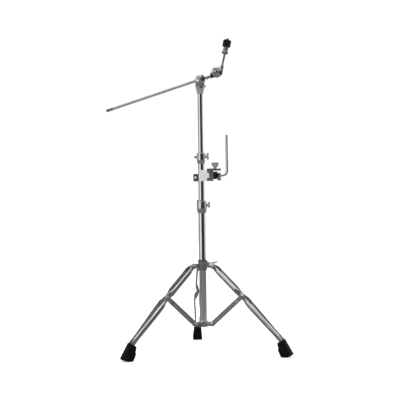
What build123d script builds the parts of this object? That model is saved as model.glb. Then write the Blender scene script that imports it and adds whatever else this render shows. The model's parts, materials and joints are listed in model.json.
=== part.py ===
from build123d import *
from math import atan2, cos, hypot, radians, sin
import os

os.makedirs("parts", exist_ok=True)

# Frame: origin on the floor under the mast, +Z up the mast, +X towards the cymbal side of the boom.
# The wing handles of both tilters face -Y. Every length is in millimetres.

# Driving dimensions: clearances
RUNNING_FIT = 0.05
FREE_GAP = 0.3

# Driving dimensions: mast tubes
BASE_TUBE_RADIUS = 12.7
BASE_TUBE_BORE = 11.45
BASE_TUBE_BOTTOM = 93.0
BASE_TUBE_TOP = 525.0
MID_TUBE_RADIUS = 11.1
MID_TUBE_BORE = 9.9
MID_TUBE_BOTTOM = 330.0
MID_TUBE_TOP = 699.0
UPPER_TUBE_RADIUS = 9.55
UPPER_TUBE_BORE = 8.35
UPPER_TUBE_BOTTOM = 480.0
UPPER_TUBE_TOP = 960.0
TUBE_EDGE = 0.4

# Driving dimensions: tripod linkage, measured in the plane of one leg as (radius, height)
LEG_AZIMUTHS = {"rear": 94.3, "left": 214.3, "right": 334.3}
PIVOT_RADIUS = 36.0
COLLAR_PIVOT_HEIGHT = 316.0
BRACKET_PIVOT_HEIGHT = 104.0
KNEE_RADIUS = 156.0
KNEE_HEIGHT = (COLLAR_PIVOT_HEIGHT + BRACKET_PIVOT_HEIGHT) / 2
RIVET_RADIUS = 3.0
RIVET_HEAD_RADIUS = 4.6
RIVET_HEAD_HEIGHT = 1.8
RIVET_HEAD_TAPER = 15.0

# Driving dimensions: leg strips
STRIP_THICKNESS = 3.0
STRIP_DEPTH = 16.0
STRIP_HEAD_RADIUS = 9.0
PINCH_HALF_GAP = 4.3
UPPER_HALF_GAP = 14.5
LOWER_HALF_GAP = 17.0
FOOT_HALF_GAP = 7.5
LEG_SHOULDER = ((51.0, 309.0), (70.0, 291.0))
LEG_ANKLE = (305.0, 57.0)
LEG_TOE = (318.5, 34.0)
STRIP_INNER_REACH = 16.0
COLLAR_FLAT = 10.0
COLLAR_FLARE = 16.0
KNEE_FLAT = 7.0
KNEE_FLARE_ABOVE = 12.0
KNEE_FLARE_BELOW = 15.0
LOWER_BELLY = 22.0
TOE_FLAT_START = 288.0

# Driving dimensions: rubber feet
FOOT_SOLE_INNER = (308.0, 0.0)
FOOT_SOLE_OUTER = (322.0, 0.0)
FOOT_HEEL = (303.0, 5.0)
FOOT_LIP = (293.0, 25.0)
FOOT_WAIST = (295.0, 31.0)
FOOT_TOP_INNER = (289.5, 48.5)
FOOT_TOP_OUTER = (312.5, 64.0)
FOOT_TOE = (343.0, 10.0)
FOOT_TOE_UNDER = (335.0, 3.5)
FOOT_HALF_WIDTH = 18.0
FOOT_TOP_HALF_WIDTH = 12.5
FOOT_SIDE_HEIGHT = 6.0
FOOT_CORNER = 7.0

# Driving dimensions: folding braces
BRACE_HALF_WIDTH = 6.0
BRACE_TONGUE_HALF_WIDTH = 4.0
BRACE_TONGUE_LENGTH = 32.0
BRACE_TAPER_LENGTH = 6.0
BRACE_DEPTH = 16.0
BRACE_WALL = 1.5

# Driving dimensions: tripod collar and lower bracket
COLLAR_BOTTOM = 299.0
COLLAR_TOP = 334.0
COLLAR_RADIUS = 16.2
COLLAR_BORE = 14.0
COLLAR_BUSH_BORE = BASE_TUBE_RADIUS + RUNNING_FIT
COLLAR_FLANGE_THICKNESS = 3.0
COLLAR_FLANGE_DRAFT = 0.6
COLLAR_BOSS_RADIUS = 7.5
COLLAR_BOSS_LENGTH = 10.0
COLLAR_SCREW_RADIUS = 3.9
LUG_HALF_WIDTH = 4.0
LUG_END_RADIUS = 7.5
COLLAR_WING_AZIMUTH = 34.3
COLLAR_WING_HEIGHT = 323.0
COLLAR_WING_LEAN = 25.0
BRACKET_BOTTOM = 93.0
BRACKET_TOP = 115.0
BRACKET_RADIUS = 16.5
BRACKET_HALF_GAP = 6.4
BRACKET_EAR_THICKNESS = 3.5

# Driving dimensions: hubs of all the wing screws and nuts
WING_HUB_TAPER = 3.0

# Driving dimensions: height clamps
CLAMP_TOP_CHAMFER = 1.5
BUSH_SEAT_DROP = 0.5
BUSH_TOP_CHAMFER = 0.8
LOWER_CLAMP_BOTTOM = 507.0
LOWER_CLAMP_TOP = 556.0
LOWER_CLAMP_RADIUS = 17.6
LOWER_CLAMP_STEP = 551.0
LOWER_CLAMP_WALL = 1.8
LOWER_CLAMP_SKIRT = 16.0
LOWER_LIP_BACK = 8.0
LOWER_BUSH_RADIUS = 14.5
LOWER_BUSH_RISE = 1.5
LOWER_WING_HEIGHT = 537.0
LOWER_BOSS_RADIUS = 8.0
LOWER_BOSS_LENGTH = 5.5
LOWER_SCREW_RADIUS = 3.5
LOWER_RIB_HALF_WIDTH = 4.0
LOWER_RIB_FOOT = 7.0
UPPER_CLAMP_BOTTOM = 687.0
UPPER_CLAMP_TOP = 726.0
UPPER_CLAMP_RADIUS = 15.0
UPPER_CLAMP_WALL = 1.4
UPPER_CLAMP_SKIRT = 13.0
UPPER_BUSH_RADIUS = 12.6
UPPER_BUSH_RISE = 1.2
UPPER_WING_HEIGHT = 714.0
UPPER_BOSS_RADIUS = 7.0
UPPER_BOSS_LENGTH = 5.0
UPPER_SCREW_RADIUS = 3.2
UPPER_LUG_REACH = 10.5
UPPER_LUG_HALF_WIDTH = 4.0
UPPER_LUG_ROOT_DROP = 10.0
UPPER_LUG_ROOT_RISE = 6.0
UPPER_LUG_TIP_DROP = 4.0
UPPER_LUG_TIP_HEIGHT = 3.0

# Driving dimensions: accessory clamp on the middle tube
TOM_BOTTOM = 624.0
TOM_TOP = 664.0
TOM_BLOCK_TOP = 669.5
TOM_EAR_BOTTOM = 623.0
TOM_EAR_TOP = 650.0
TOM_HALF_DEPTH = 16.0
TOM_SPLIT = 1.0
TOM_SHELL_LEFT = -11.0
TOM_SHELL_RIGHT = 21.0
TOM_SHELL_BEVEL = 5.0
TOM_SHELL_BEVEL_DEPTH = 3.0
TOM_EAR_REACH = 8.0
TOM_EAR_HALF_DEPTH = 7.0
TOM_EAR_ROOT = 7.0
TOM_BLOCK_HALF_DEPTH = 13.0
TOM_BLOCK_END = 44.0
TOM_BLOCK_START = 24.0
TOM_BRIDGE_HALF_WIDTH = 9.0
TOM_BRIDGE_THICKNESS = 8.0
TOM_BRIDGE_START = 38.0
TOM_SOCKET_RELIEF = 9.0
TOM_RELIEF_START = 32.0
TOM_KNUCKLE_HEIGHT = 11.0
TOM_KNUCKLE_TIE = 6.0
TOM_HINGE_X = 25.0
TOM_HINGE_Y = -12.5
TOM_KNUCKLE_RADIUS = 4.0
TOM_HINGE_PIN_RADIUS = 2.0
TOM_BOLT_X = -21.0
TOM_BOLT_HEIGHT = 637.0
TOM_BOLT_RADIUS = 3.0
TOM_BOLT_HEAD_RADIUS = 4.4
TOM_BOLT_HEAD_HEIGHT = 3.5
TOM_BOLT_HEAD_TAPER = 8.0
TOM_BOLT_LENGTH = 26.0
BALL_SCREW_RADIUS = 3.5
BALL_SCREW_HOLE_DEPTH = 9.0
BALL_X = 51.0
BALL_HEIGHT = 644.0
BALL_RADIUS = 14.0
BALL_CAP_START = 58.0
BALL_CAP_END = 72.0
BALL_CAP_RADIUS = 19.0
BALL_CAP_SEAT = 12.6
BALL_CAP_HOLE = 11.0
BALL_CAP_SLOT = 15.0
BALL_CAP_SEAT_DEPTH = 2.0
BALL_CAP_TAB_HEIGHT = 12.0
L_ROD_RADIUS = 4.75
L_ROD_TIP_RADIUS = 2.0
L_ROD_BEND = 16.0
L_ROD_START = 40.0
L_ROD_UPRIGHT_X = 94.0
L_ROD_TOP = 792.0

# Driving dimensions: boom tilter on the upper tube
TILTER_SOCKET_BOTTOM = 942.0
TILTER_SHOULDER = 973.0
TILTER_SHOULDER_RADIUS = 16.5
TILTER_SHOULDER_BAND = 4.0
TILTER_SOCKET_WALL = 1.8
TILTER_PIVOT_HEIGHT = 992.5
TILTER_DISC_RADIUS = 19.0
TILTER_FRONT = -12.0
TILTER_EAR_FRONT = -8.3
TILTER_EAR_BACK = 8.0
BOOM_Y = -19.0
TILTER_WAIST_HEIGHT = 20.0
TILTER_LUG_X = 18.0
TILTER_LUG_WIDTH = 6.0
TILTER_LUG_HEIGHT = 7.0
TILTER_LUG_HALF_DEPTH = 6.0
TILTER_LUG_DROP = 3.5
TILTER_SCREW_X = 4.0
TILTER_SCREW_DROP = 7.5
TILTER_SCREW_RADIUS = 2.5
TILTER_SCREW_HOLE_DEPTH = 8.0
TILTER_SCREW_LENGTH = 6.0
TILTER_SCREW_HEAD_RADIUS = 4.0
TILTER_SCREW_HEAD_HEIGHT = 1.3
TILTER_SCREW_SOCKET_RADIUS = 1.8
TILTER_SCREW_SOCKET_DEPTH = 1.0
DRUM_FRONT = -29.0
DRUM_CHAMFER = 1.5
EYE_RADIUS = 8.0
EYE_THICKNESS = 14.0
TILT_BOLT_RADIUS = 4.0
TILT_BOLT_BACK = 4.5
TILT_BOLT_FRONT = 12.0
TILT_NUT_RADIUS = 7.5
TILT_NUT_HEIGHT = 4.0
BOOM_WING_ANGLE = 50.0

# Driving dimensions: boom
BOOM_SLOPE = 17.8
BOOM_RADIUS = 5.25
BOOM_TAIL = 359.0
BOOM_TIP = 44.5
BOOM_CAP_LENGTH = 25.0
BOOM_CAP_BEVEL = 2.0
BOOM_GROOVES = (-253.0, -172.0, -92.0)
BOOM_GROOVE_WIDTH = 1.6
BOOM_GROOVE_DEPTH = 0.5
SLEEVE_START = 19.6
SLEEVE_END = 41.0
SLEEVE_RADIUS = 8.0
SLEEVE_CHAMFER = 1.0
NECK_RADIUS = 6.6
NECK_BUSH_RADIUS = 9.4

# Driving dimensions: cymbal tilter and cymbal rod
CYMBAL_DISC_ALONG = 66.7
CYMBAL_DISC_ABOVE = 7.0
CYMBAL_DISC_RADIUS = 21.0
CYMBAL_BASE_FRONT = -21.5
CYMBAL_BASE_BACK = -11.5
CYMBAL_ARM_FRONT = -31.0
CYMBAL_SCREW_RADIUS = 4.0
CYMBAL_SCREW_SHORTFALL = 2.0
CYMBAL_WING_ANGLE = 16.4
ROD_LEAN = 12.4
ROD_OFFSET = 15.5
ROD_RADIUS = 3.9
BOSS_START = -9.0
BOSS_TOP = 19.0
BOSS_WIDTH = 12.0
LOCK_NUT_RADIUS = 6.2
LOCK_NUT_TIP_RADIUS = 4.6
LOCK_NUT_BAND = 2.5
LOCK_NUT_HEIGHT = 8.0
ROD_SEAT_START = 68.0
ROD_SEAT_STEP = ROD_SEAT_START + 12.0
ROD_SEAT_TOP = 94.2
ROD_NUT_TOP = 119.4
ROD_TIP = 125.8
SLEEVE_WALL_RADIUS = 5.6
FELT_RADIUS = 15.0
FELT_EDGE = 0.8  # bevel on the rims of the felts
FELT_GAP = 0.2  # between one felt and the part above it
ROD_SEAT_RADIUS = 11.5
ROD_SEAT_LIP_RADIUS = 8.8  # lip that holds the nylon sleeve
ROD_SEAT_BEVEL = 2.0
ROD_SEAT_NECK = 4.0  # height of the taper between the seat and its lip
TOP_NUT_BEVEL = 1.6
TOP_NUT_CROWN_RADIUS = 5.4
TOP_NUT_TIP_RADIUS = 1.8
FELT_SPLIT = 104.3
FELT_TOP = 113.3

# Directions and points worked out from the driving dimensions
TILTER_PIVOT = (0.0, BOOM_Y, TILTER_PIVOT_HEIGHT)
BOOM_DIRECTION = (cos(radians(BOOM_SLOPE)), 0.0, sin(radians(BOOM_SLOPE)))
BOOM_PLANE = Plane(origin=TILTER_PIVOT, x_dir=BOOM_DIRECTION, z_dir=(0, -1, 0))
BOOM_AXIS = Axis(origin=TILTER_PIVOT, direction=BOOM_DIRECTION)
CYMBAL_CENTRE_X = CYMBAL_DISC_ALONG * BOOM_DIRECTION[0] - CYMBAL_DISC_ABOVE * BOOM_DIRECTION[2]
CYMBAL_CENTRE_Z = (
    TILTER_PIVOT_HEIGHT + CYMBAL_DISC_ALONG * BOOM_DIRECTION[2] + CYMBAL_DISC_ABOVE * BOOM_DIRECTION[0]
)
ROD_DIRECTION = (sin(radians(ROD_LEAN)), 0.0, cos(radians(ROD_LEAN)))
ROD_ACROSS = (cos(radians(ROD_LEAN)), 0.0, -sin(radians(ROD_LEAN)))
ROD_Y = (CYMBAL_ARM_FRONT + CYMBAL_BASE_FRONT) / 2
ROD_FOOT = (
    CYMBAL_CENTRE_X + ROD_OFFSET * ROD_ACROSS[0],
    ROD_Y,
    CYMBAL_CENTRE_Z + ROD_OFFSET * ROD_ACROSS[2],
)
ROD_PLANE = Plane(origin=ROD_FOOT, x_dir=ROD_ACROSS, z_dir=(0, -1, 0))
ROD_AXIS = Axis(origin=ROD_FOOT, direction=ROD_DIRECTION)


def save(builder, label):
    """Give a finished piece its name and write its STEP file."""
    builder.part.label = label
    export_step(builder.part, f"parts/{label}.step")


def leg_side_plane(azimuth):
    """Plane of one leg: x runs out from the mast, y runs up."""
    angle = radians(azimuth)
    return Plane(origin=(0, 0, 0), x_dir=(cos(angle), sin(angle), 0), z_dir=(sin(angle), -cos(angle), 0))


def leg_top_plane(azimuth):
    """Floor plane turned so that x runs out along one leg."""
    angle = radians(azimuth)
    return Plane(origin=(0, 0, 0), x_dir=(cos(angle), sin(angle), 0), z_dir=(0, 0, 1))


def band_outline(points, half_width):
    """Closed outline of a band of constant width that follows a bent centre line."""
    upper = []
    lower = []
    for index, (x, y) in enumerate(points):
        before = points[max(index - 1, 0)]
        after = points[min(index + 1, len(points) - 1)]
        angle_in = atan2(y - before[1], x - before[0]) if index > 0 else None
        angle_out = atan2(after[1] - y, after[0] - x) if index < len(points) - 1 else None
        angle_in = angle_out if angle_in is None else angle_in
        angle_out = angle_in if angle_out is None else angle_out
        middle = (angle_in + angle_out) / 2
        reach = half_width / cos((angle_out - angle_in) / 2)
        upper.append((x - reach * sin(middle), y + reach * cos(middle)))
        lower.append((x + reach * sin(middle), y - reach * cos(middle)))
    return upper + lower[::-1]


def build_tube(label, outer_radius, bore_radius, bottom, top):
    """Round tube on the mast axis with eased ends."""
    with BuildPart() as tube:
        with BuildSketch(Plane.XY.offset(bottom)):
            Circle(outer_radius)
            Circle(bore_radius, mode=Mode.SUBTRACT)
        extrude(amount=top - bottom)
        rim_edges = tube.edges().filter_by(GeomType.CIRCLE)
        outer_edges = rim_edges.filter_by(lambda edge: edge.radius > outer_radius - 0.01)
        chamfer(outer_edges, length=TUBE_EDGE)
    save(tube, label)


def build_turned(label, plane, axis, outline):
    """Turned piece: a closed outline of (radius, height) points spun about its axis."""
    with BuildPart() as turned:
        with BuildSketch(plane):
            with BuildLine():
                Polyline(*outline, close=True)
            make_face()
        revolve(axis=axis)
    save(turned, label)


def build_wing_screw(label, face, hub, shank, lobe_foot, lobe_tip, lobe_radius, thickness):
    """Wing screw. face lies at the foot of the hub, z out along the screw and x along the wings."""
    wing_plane = Plane(origin=face.origin, x_dir=face.x_dir, z_dir=-face.y_dir)
    with BuildPart() as screw:
        with BuildSketch(face):
            Circle(hub[0])
        extrude(amount=hub[1], taper=WING_HUB_TAPER)
        with BuildSketch(face):
            Circle(shank[0])
        extrude(amount=-shank[1])
        with BuildSketch(wing_plane):
            for side in (-1, 1):
                foot = Vector(side * lobe_foot[0], lobe_foot[1])
                tip = Vector(side * lobe_tip[0], lobe_tip[1])
                SlotCenterPoint((foot + tip) / 2, tip, 2 * lobe_radius)
        extrude(amount=thickness / 2, both=True)
    save(screw, label)


def build_wing_nut(label, face, hub, bore_radius, lobe_foot, lobe_tip, lobe_radius, thickness):
    """Wing nut. face lies at the foot of the hub, z out along the bolt and x along the wings."""
    wing_plane = Plane(origin=face.origin, x_dir=face.x_dir, z_dir=-face.y_dir)
    with BuildPart() as nut:
        with BuildSketch(face):
            Circle(hub[0])
        extrude(amount=hub[1], taper=WING_HUB_TAPER)
        with BuildSketch(wing_plane):
            for side in (-1, 1):
                foot = Vector(side * lobe_foot[0], lobe_foot[1])
                tip = Vector(side * lobe_tip[0], lobe_tip[1])
                SlotCenterPoint((foot + tip) / 2, tip, 2 * lobe_radius)
        extrude(amount=thickness / 2, both=True)
        with BuildSketch(face):
            Circle(bore_radius)
        extrude(amount=hub[1] + 2 * lobe_radius, mode=Mode.SUBTRACT)
    save(nut, label)


# ---------------------------------------------------------------- mast tubes
def build_mast():
    """Three telescoping tubes."""
    build_tube("base_tube", BASE_TUBE_RADIUS, BASE_TUBE_BORE, BASE_TUBE_BOTTOM, BASE_TUBE_TOP)
    build_tube("middle_tube", MID_TUBE_RADIUS, MID_TUBE_BORE, MID_TUBE_BOTTOM, MID_TUBE_TOP)
    build_tube("upper_tube", UPPER_TUBE_RADIUS, UPPER_TUBE_BORE, UPPER_TUBE_BOTTOM, UPPER_TUBE_TOP)


# ---------------------------------------------------------------- tripod
def leg_side_points():
    """Centre line of a leg from its collar pivot to its end in the foot, as (radius, height)."""
    return [
        (PIVOT_RADIUS, COLLAR_PIVOT_HEIGHT),
        *LEG_SHOULDER,
        (KNEE_RADIUS, KNEE_HEIGHT),
        LEG_ANKLE,
        LEG_TOE,
    ]


def strip_plan_points(side):
    """Centre line of one strip seen from above, as (radius, sideways distance)."""
    half = STRIP_THICKNESS / 2
    pinch = PINCH_HALF_GAP + half
    upper = UPPER_HALF_GAP + half
    lower = LOWER_HALF_GAP + half
    toe = FOOT_HALF_GAP + half
    stations = (
        (PIVOT_RADIUS - STRIP_INNER_REACH, pinch),
        (PIVOT_RADIUS + COLLAR_FLAT, pinch),
        (PIVOT_RADIUS + COLLAR_FLAT + COLLAR_FLARE, upper),
        (KNEE_RADIUS - KNEE_FLAT - KNEE_FLARE_ABOVE, upper),
        (KNEE_RADIUS - KNEE_FLAT, pinch),
        (KNEE_RADIUS + KNEE_FLAT, pinch),
        (KNEE_RADIUS + KNEE_FLAT + KNEE_FLARE_BELOW, lower),
        (KNEE_RADIUS + KNEE_FLAT + KNEE_FLARE_BELOW + LOWER_BELLY, lower),
        (TOE_FLAT_START, toe),
        (FOOT_TOE[0], toe),
    )
    return [(radius, side * offset) for radius, offset in stations]


def build_leg_strip(label, azimuth, side):
    """Stamped steel strip: the bent side view of the leg cut by its waisted plan view."""
    with BuildPart() as strip:
        with BuildSketch(leg_side_plane(azimuth)):
            with BuildLine():
                Polyline(*band_outline(leg_side_points(), STRIP_DEPTH / 2), close=True)
            make_face()
            with Locations((PIVOT_RADIUS, COLLAR_PIVOT_HEIGHT)):
                Circle(STRIP_HEAD_RADIUS)
        extrude(amount=2 * LOWER_HALF_GAP, both=True)
        with BuildSketch(leg_top_plane(azimuth)):
            with BuildLine():
                Polyline(*band_outline(strip_plan_points(side), STRIP_THICKNESS / 2), close=True)
            make_face()
        extrude(amount=COLLAR_TOP + STRIP_HEAD_RADIUS, mode=Mode.INTERSECT)
        with BuildSketch(leg_side_plane(azimuth)):
            with Locations((PIVOT_RADIUS, COLLAR_PIVOT_HEIGHT), (KNEE_RADIUS, KNEE_HEIGHT)):
                Circle(RIVET_RADIUS)
        extrude(amount=2 * LOWER_HALF_GAP, both=True, mode=Mode.SUBTRACT)
    save(strip, label)
    return strip.part


def build_leg_rivets(label, azimuth):
    """Two rivets of a leg: collar pivot and knee pivot."""
    half_length = PINCH_HALF_GAP + STRIP_THICKNESS
    with BuildPart() as rivets:
        for pivot in ((PIVOT_RADIUS, COLLAR_PIVOT_HEIGHT), (KNEE_RADIUS, KNEE_HEIGHT)):
            with BuildSketch(leg_side_plane(azimuth)):
                with Locations(pivot):
                    Circle(RIVET_RADIUS)
            extrude(amount=half_length + RIVET_HEAD_HEIGHT, both=True)
            for side in (-1, 1):
                with BuildSketch(leg_side_plane(azimuth).offset(side * half_length)):
                    with Locations(pivot):
                        Circle(RIVET_HEAD_RADIUS)
                extrude(amount=side * RIVET_HEAD_HEIGHT, taper=RIVET_HEAD_TAPER)
    save(rivets, label)


def build_foot(label, azimuth, strips):
    """Rubber foot: wedge on a rounded sole, square across the leg at its top, pocketed for both strips."""
    front = leg_side_plane(azimuth)
    across_plane = Plane(origin=front.origin, x_dir=front.z_dir, z_dir=-front.x_dir)
    with BuildPart() as foot:
        with BuildSketch(front):
            with BuildLine():
                Polyline(
                    FOOT_SOLE_INNER,
                    FOOT_HEEL,
                    FOOT_LIP,
                    FOOT_WAIST,
                    FOOT_TOP_INNER,
                    FOOT_TOP_OUTER,
                    FOOT_TOE,
                    FOOT_TOE_UNDER,
                    FOOT_SOLE_OUTER,
                    close=True,
                )
            make_face()
        extrude(amount=FOOT_HALF_WIDTH, both=True)
        with BuildSketch(across_plane):
            with BuildLine():
                Polyline(
                    (-FOOT_HALF_WIDTH, 0),
                    (-FOOT_HALF_WIDTH, FOOT_SIDE_HEIGHT),
                    (-FOOT_TOP_HALF_WIDTH, FOOT_TOP_OUTER[1]),
                    (FOOT_TOP_HALF_WIDTH, FOOT_TOP_OUTER[1]),
                    (FOOT_HALF_WIDTH, FOOT_SIDE_HEIGHT),
                    (FOOT_HALF_WIDTH, 0),
                    close=True,
                )
            make_face()
        extrude(amount=-2 * FOOT_TOE[0], mode=Mode.INTERSECT)
        with BuildSketch(leg_top_plane(azimuth)):
            with Locations(((FOOT_TOP_INNER[0] + FOOT_TOE[0]) / 2, 0)):
                RectangleRounded(FOOT_TOE[0] - FOOT_TOP_INNER[0], 2 * FOOT_HALF_WIDTH, FOOT_CORNER)
        extrude(amount=FOOT_TOP_OUTER[1], mode=Mode.INTERSECT)
        for strip in strips:
            add(strip, mode=Mode.SUBTRACT)
    save(foot, label)


def brace_plan(half_tongue, half_channel):
    """Outline of a brace seen along its depth: a channel that narrows to a tongue at the knee."""
    length = hypot(KNEE_RADIUS - PIVOT_RADIUS, KNEE_HEIGHT - BRACKET_PIVOT_HEIGHT)
    overhang = BRACE_DEPTH / 2
    upper = [
        (-overhang, half_channel),
        (length - BRACE_TONGUE_LENGTH, half_channel),
        (length - BRACE_TONGUE_LENGTH + BRACE_TAPER_LENGTH, half_tongue),
        (length + overhang, half_tongue),
    ]
    return upper + [(x, -y) for x, y in upper[::-1]]


def build_brace(label, azimuth):
    """Folding brace: pressed channel with round ends, open on top."""
    rise = KNEE_HEIGHT - BRACKET_PIVOT_HEIGHT
    run = KNEE_RADIUS - PIVOT_RADIUS
    length = hypot(run, rise)
    side = leg_side_plane(azimuth)
    start = side.origin + side.x_dir * PIVOT_RADIUS + side.y_dir * BRACKET_PIVOT_HEIGHT
    along = side.x_dir * (run / length) + side.y_dir * (rise / length)
    lengthwise = Plane(origin=start, x_dir=along, z_dir=side.z_dir)
    crosswise = Plane(origin=start, x_dir=along, z_dir=lengthwise.y_dir)
    with BuildPart() as brace:
        with BuildSketch(lengthwise):
            with Locations((length / 2, 0)):
                SlotCenterToCenter(length, BRACE_DEPTH)
        extrude(amount=BRACE_HALF_WIDTH, both=True)
        with BuildSketch(crosswise.offset(-BRACE_DEPTH)):
            with BuildLine():
                Polyline(*brace_plan(BRACE_TONGUE_HALF_WIDTH, BRACE_HALF_WIDTH), close=True)
            make_face()
        extrude(amount=2 * BRACE_DEPTH, mode=Mode.INTERSECT)
        with BuildSketch(crosswise.offset(BRACE_WALL - BRACE_DEPTH / 2)):
            with BuildLine():
                inner = brace_plan(BRACE_TONGUE_HALF_WIDTH - BRACE_WALL, BRACE_HALF_WIDTH - BRACE_WALL)
                Polyline(*inner, close=True)
            make_face()
        extrude(amount=BRACE_DEPTH, mode=Mode.SUBTRACT)
        with BuildSketch(lengthwise):
            with Locations((0, 0), (length, 0)):
                Circle(RIVET_RADIUS + RUNNING_FIT)
        extrude(amount=BRACE_HALF_WIDTH, both=True, mode=Mode.SUBTRACT)
    save(brace, label)


def build_collar():
    """Sliding tripod collar with one lug per leg and a boss for its wing screw."""
    with BuildPart() as tripod_collar:
        with BuildSketch(Plane.XY.offset(COLLAR_BOTTOM)):
            Circle(COLLAR_RADIUS)
        extrude(amount=COLLAR_TOP - COLLAR_BOTTOM)
        for azimuth in LEG_AZIMUTHS.values():
            with BuildSketch(leg_side_plane(azimuth)):
                with Locations(((COLLAR_BORE + PIVOT_RADIUS) / 2, COLLAR_PIVOT_HEIGHT)):
                    Rectangle(PIVOT_RADIUS - COLLAR_BORE, 2 * LUG_END_RADIUS)
                with Locations((PIVOT_RADIUS, COLLAR_PIVOT_HEIGHT)):
                    Circle(LUG_END_RADIUS)
            extrude(amount=LUG_HALF_WIDTH, both=True)
        boss_side = leg_side_plane(COLLAR_WING_AZIMUTH)
        boss_plane = Plane(
            origin=boss_side.x_dir * COLLAR_BORE + boss_side.y_dir * COLLAR_WING_HEIGHT,
            x_dir=boss_side.z_dir,
            z_dir=boss_side.x_dir,
        )
        with BuildSketch(boss_plane):
            Circle(COLLAR_BOSS_RADIUS)
        extrude(amount=COLLAR_BOSS_LENGTH)
        with BuildSketch(Plane.XY.offset(COLLAR_BOTTOM)):
            Circle(COLLAR_BORE)
        extrude(amount=COLLAR_TOP - COLLAR_BOTTOM, mode=Mode.SUBTRACT)
        with BuildSketch(boss_plane):
            Circle(COLLAR_SCREW_RADIUS + RUNNING_FIT)
        extrude(amount=COLLAR_BOSS_LENGTH, mode=Mode.SUBTRACT)
        for azimuth in LEG_AZIMUTHS.values():
            with BuildSketch(leg_side_plane(azimuth)):
                with Locations((PIVOT_RADIUS, COLLAR_PIVOT_HEIGHT)):
                    Circle(RIVET_RADIUS + RUNNING_FIT)
            extrude(amount=LUG_HALF_WIDTH, both=True, mode=Mode.SUBTRACT)
    save(tripod_collar, "tripod_collar")

    build_turned(
        "collar_bush",
        Plane.XZ,
        Axis.Z,
        (
            (COLLAR_BUSH_BORE, COLLAR_BOTTOM),
            (COLLAR_BORE, COLLAR_BOTTOM),
            (COLLAR_BORE, COLLAR_TOP),
            (COLLAR_RADIUS, COLLAR_TOP),
            (COLLAR_RADIUS - COLLAR_FLANGE_DRAFT, COLLAR_TOP + COLLAR_FLANGE_THICKNESS),
            (COLLAR_BUSH_BORE, COLLAR_TOP + COLLAR_FLANGE_THICKNESS),
        ),
    )

    wing_lean = radians(COLLAR_WING_LEAN)
    boss_end = COLLAR_BORE + COLLAR_BOSS_LENGTH
    screw_side = leg_side_plane(COLLAR_WING_AZIMUTH)
    wing_across = screw_side.z_dir * cos(wing_lean) + screw_side.y_dir * sin(wing_lean)
    build_wing_screw(
        "collar_wing_screw",
        Plane(
            origin=screw_side.x_dir * (boss_end + FREE_GAP) + screw_side.y_dir * COLLAR_WING_HEIGHT,
            x_dir=wing_across,
            z_dir=screw_side.x_dir,
        ),
        hub=(6.0, 18.0),
        shank=(COLLAR_SCREW_RADIUS, 9.5),
        lobe_foot=(3.0, 16.0),
        lobe_tip=(10.5, 31.0),
        lobe_radius=5.0,
        thickness=4.5,
    )


def build_lower_bracket():
    """Fixed bracket at the foot of the base tube: a ring with a pair of ears per brace."""
    with BuildPart() as lower_bracket:
        with BuildSketch(Plane.XY.offset(BRACKET_BOTTOM)):
            Circle(BRACKET_RADIUS)
        extrude(amount=BRACKET_TOP - BRACKET_BOTTOM)
        for azimuth in LEG_AZIMUTHS.values():
            for side in (-1, 1):
                with BuildSketch(leg_side_plane(azimuth).offset(side * BRACKET_HALF_GAP)):
                    with Locations(((BASE_TUBE_RADIUS + PIVOT_RADIUS) / 2, BRACKET_PIVOT_HEIGHT)):
                        Rectangle(PIVOT_RADIUS - BASE_TUBE_RADIUS, 2 * LUG_END_RADIUS)
                    with Locations((PIVOT_RADIUS, BRACKET_PIVOT_HEIGHT)):
                        Circle(LUG_END_RADIUS)
                extrude(amount=side * BRACKET_EAR_THICKNESS)
        with BuildSketch(Plane.XY.offset(BRACKET_BOTTOM)):
            Circle(BASE_TUBE_RADIUS)
        extrude(amount=BRACKET_TOP - BRACKET_BOTTOM, mode=Mode.SUBTRACT)
        for azimuth in LEG_AZIMUTHS.values():
            with BuildSketch(leg_side_plane(azimuth)):
                with Locations((PIVOT_RADIUS, BRACKET_PIVOT_HEIGHT)):
                    Circle(RIVET_RADIUS)
            extrude(amount=BRACKET_HALF_GAP + BRACKET_EAR_THICKNESS, both=True, mode=Mode.SUBTRACT)
    save(lower_bracket, "lower_bracket")

    outer = BRACKET_HALF_GAP + BRACKET_EAR_THICKNESS
    with BuildPart() as bracket_rivets:
        for azimuth in LEG_AZIMUTHS.values():
            for side in (-1, 1):
                with BuildSketch(leg_side_plane(azimuth).offset(side * BRACKET_HALF_GAP)):
                    with Locations((PIVOT_RADIUS, BRACKET_PIVOT_HEIGHT)):
                        Circle(RIVET_RADIUS)
                extrude(amount=side * (BRACKET_EAR_THICKNESS + RIVET_HEAD_HEIGHT))
                with BuildSketch(leg_side_plane(azimuth).offset(side * outer)):
                    with Locations((PIVOT_RADIUS, BRACKET_PIVOT_HEIGHT)):
                        Circle(RIVET_HEAD_RADIUS)
                extrude(amount=side * RIVET_HEAD_HEIGHT, taper=RIVET_HEAD_TAPER)
    save(bracket_rivets, "bracket_rivets")


def build_tripod():
    """Collar, bracket and the three legs with their braces."""
    build_collar()
    build_lower_bracket()
    for name, azimuth in LEG_AZIMUTHS.items():
        strips = [
            build_leg_strip(f"{name}_leg_strip_a", azimuth, 1),
            build_leg_strip(f"{name}_leg_strip_b", azimuth, -1),
        ]
        build_leg_rivets(f"{name}_leg_rivets", azimuth)
        build_foot(f"{name}_foot", azimuth, strips)
        build_brace(f"{name}_brace", azimuth)


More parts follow.
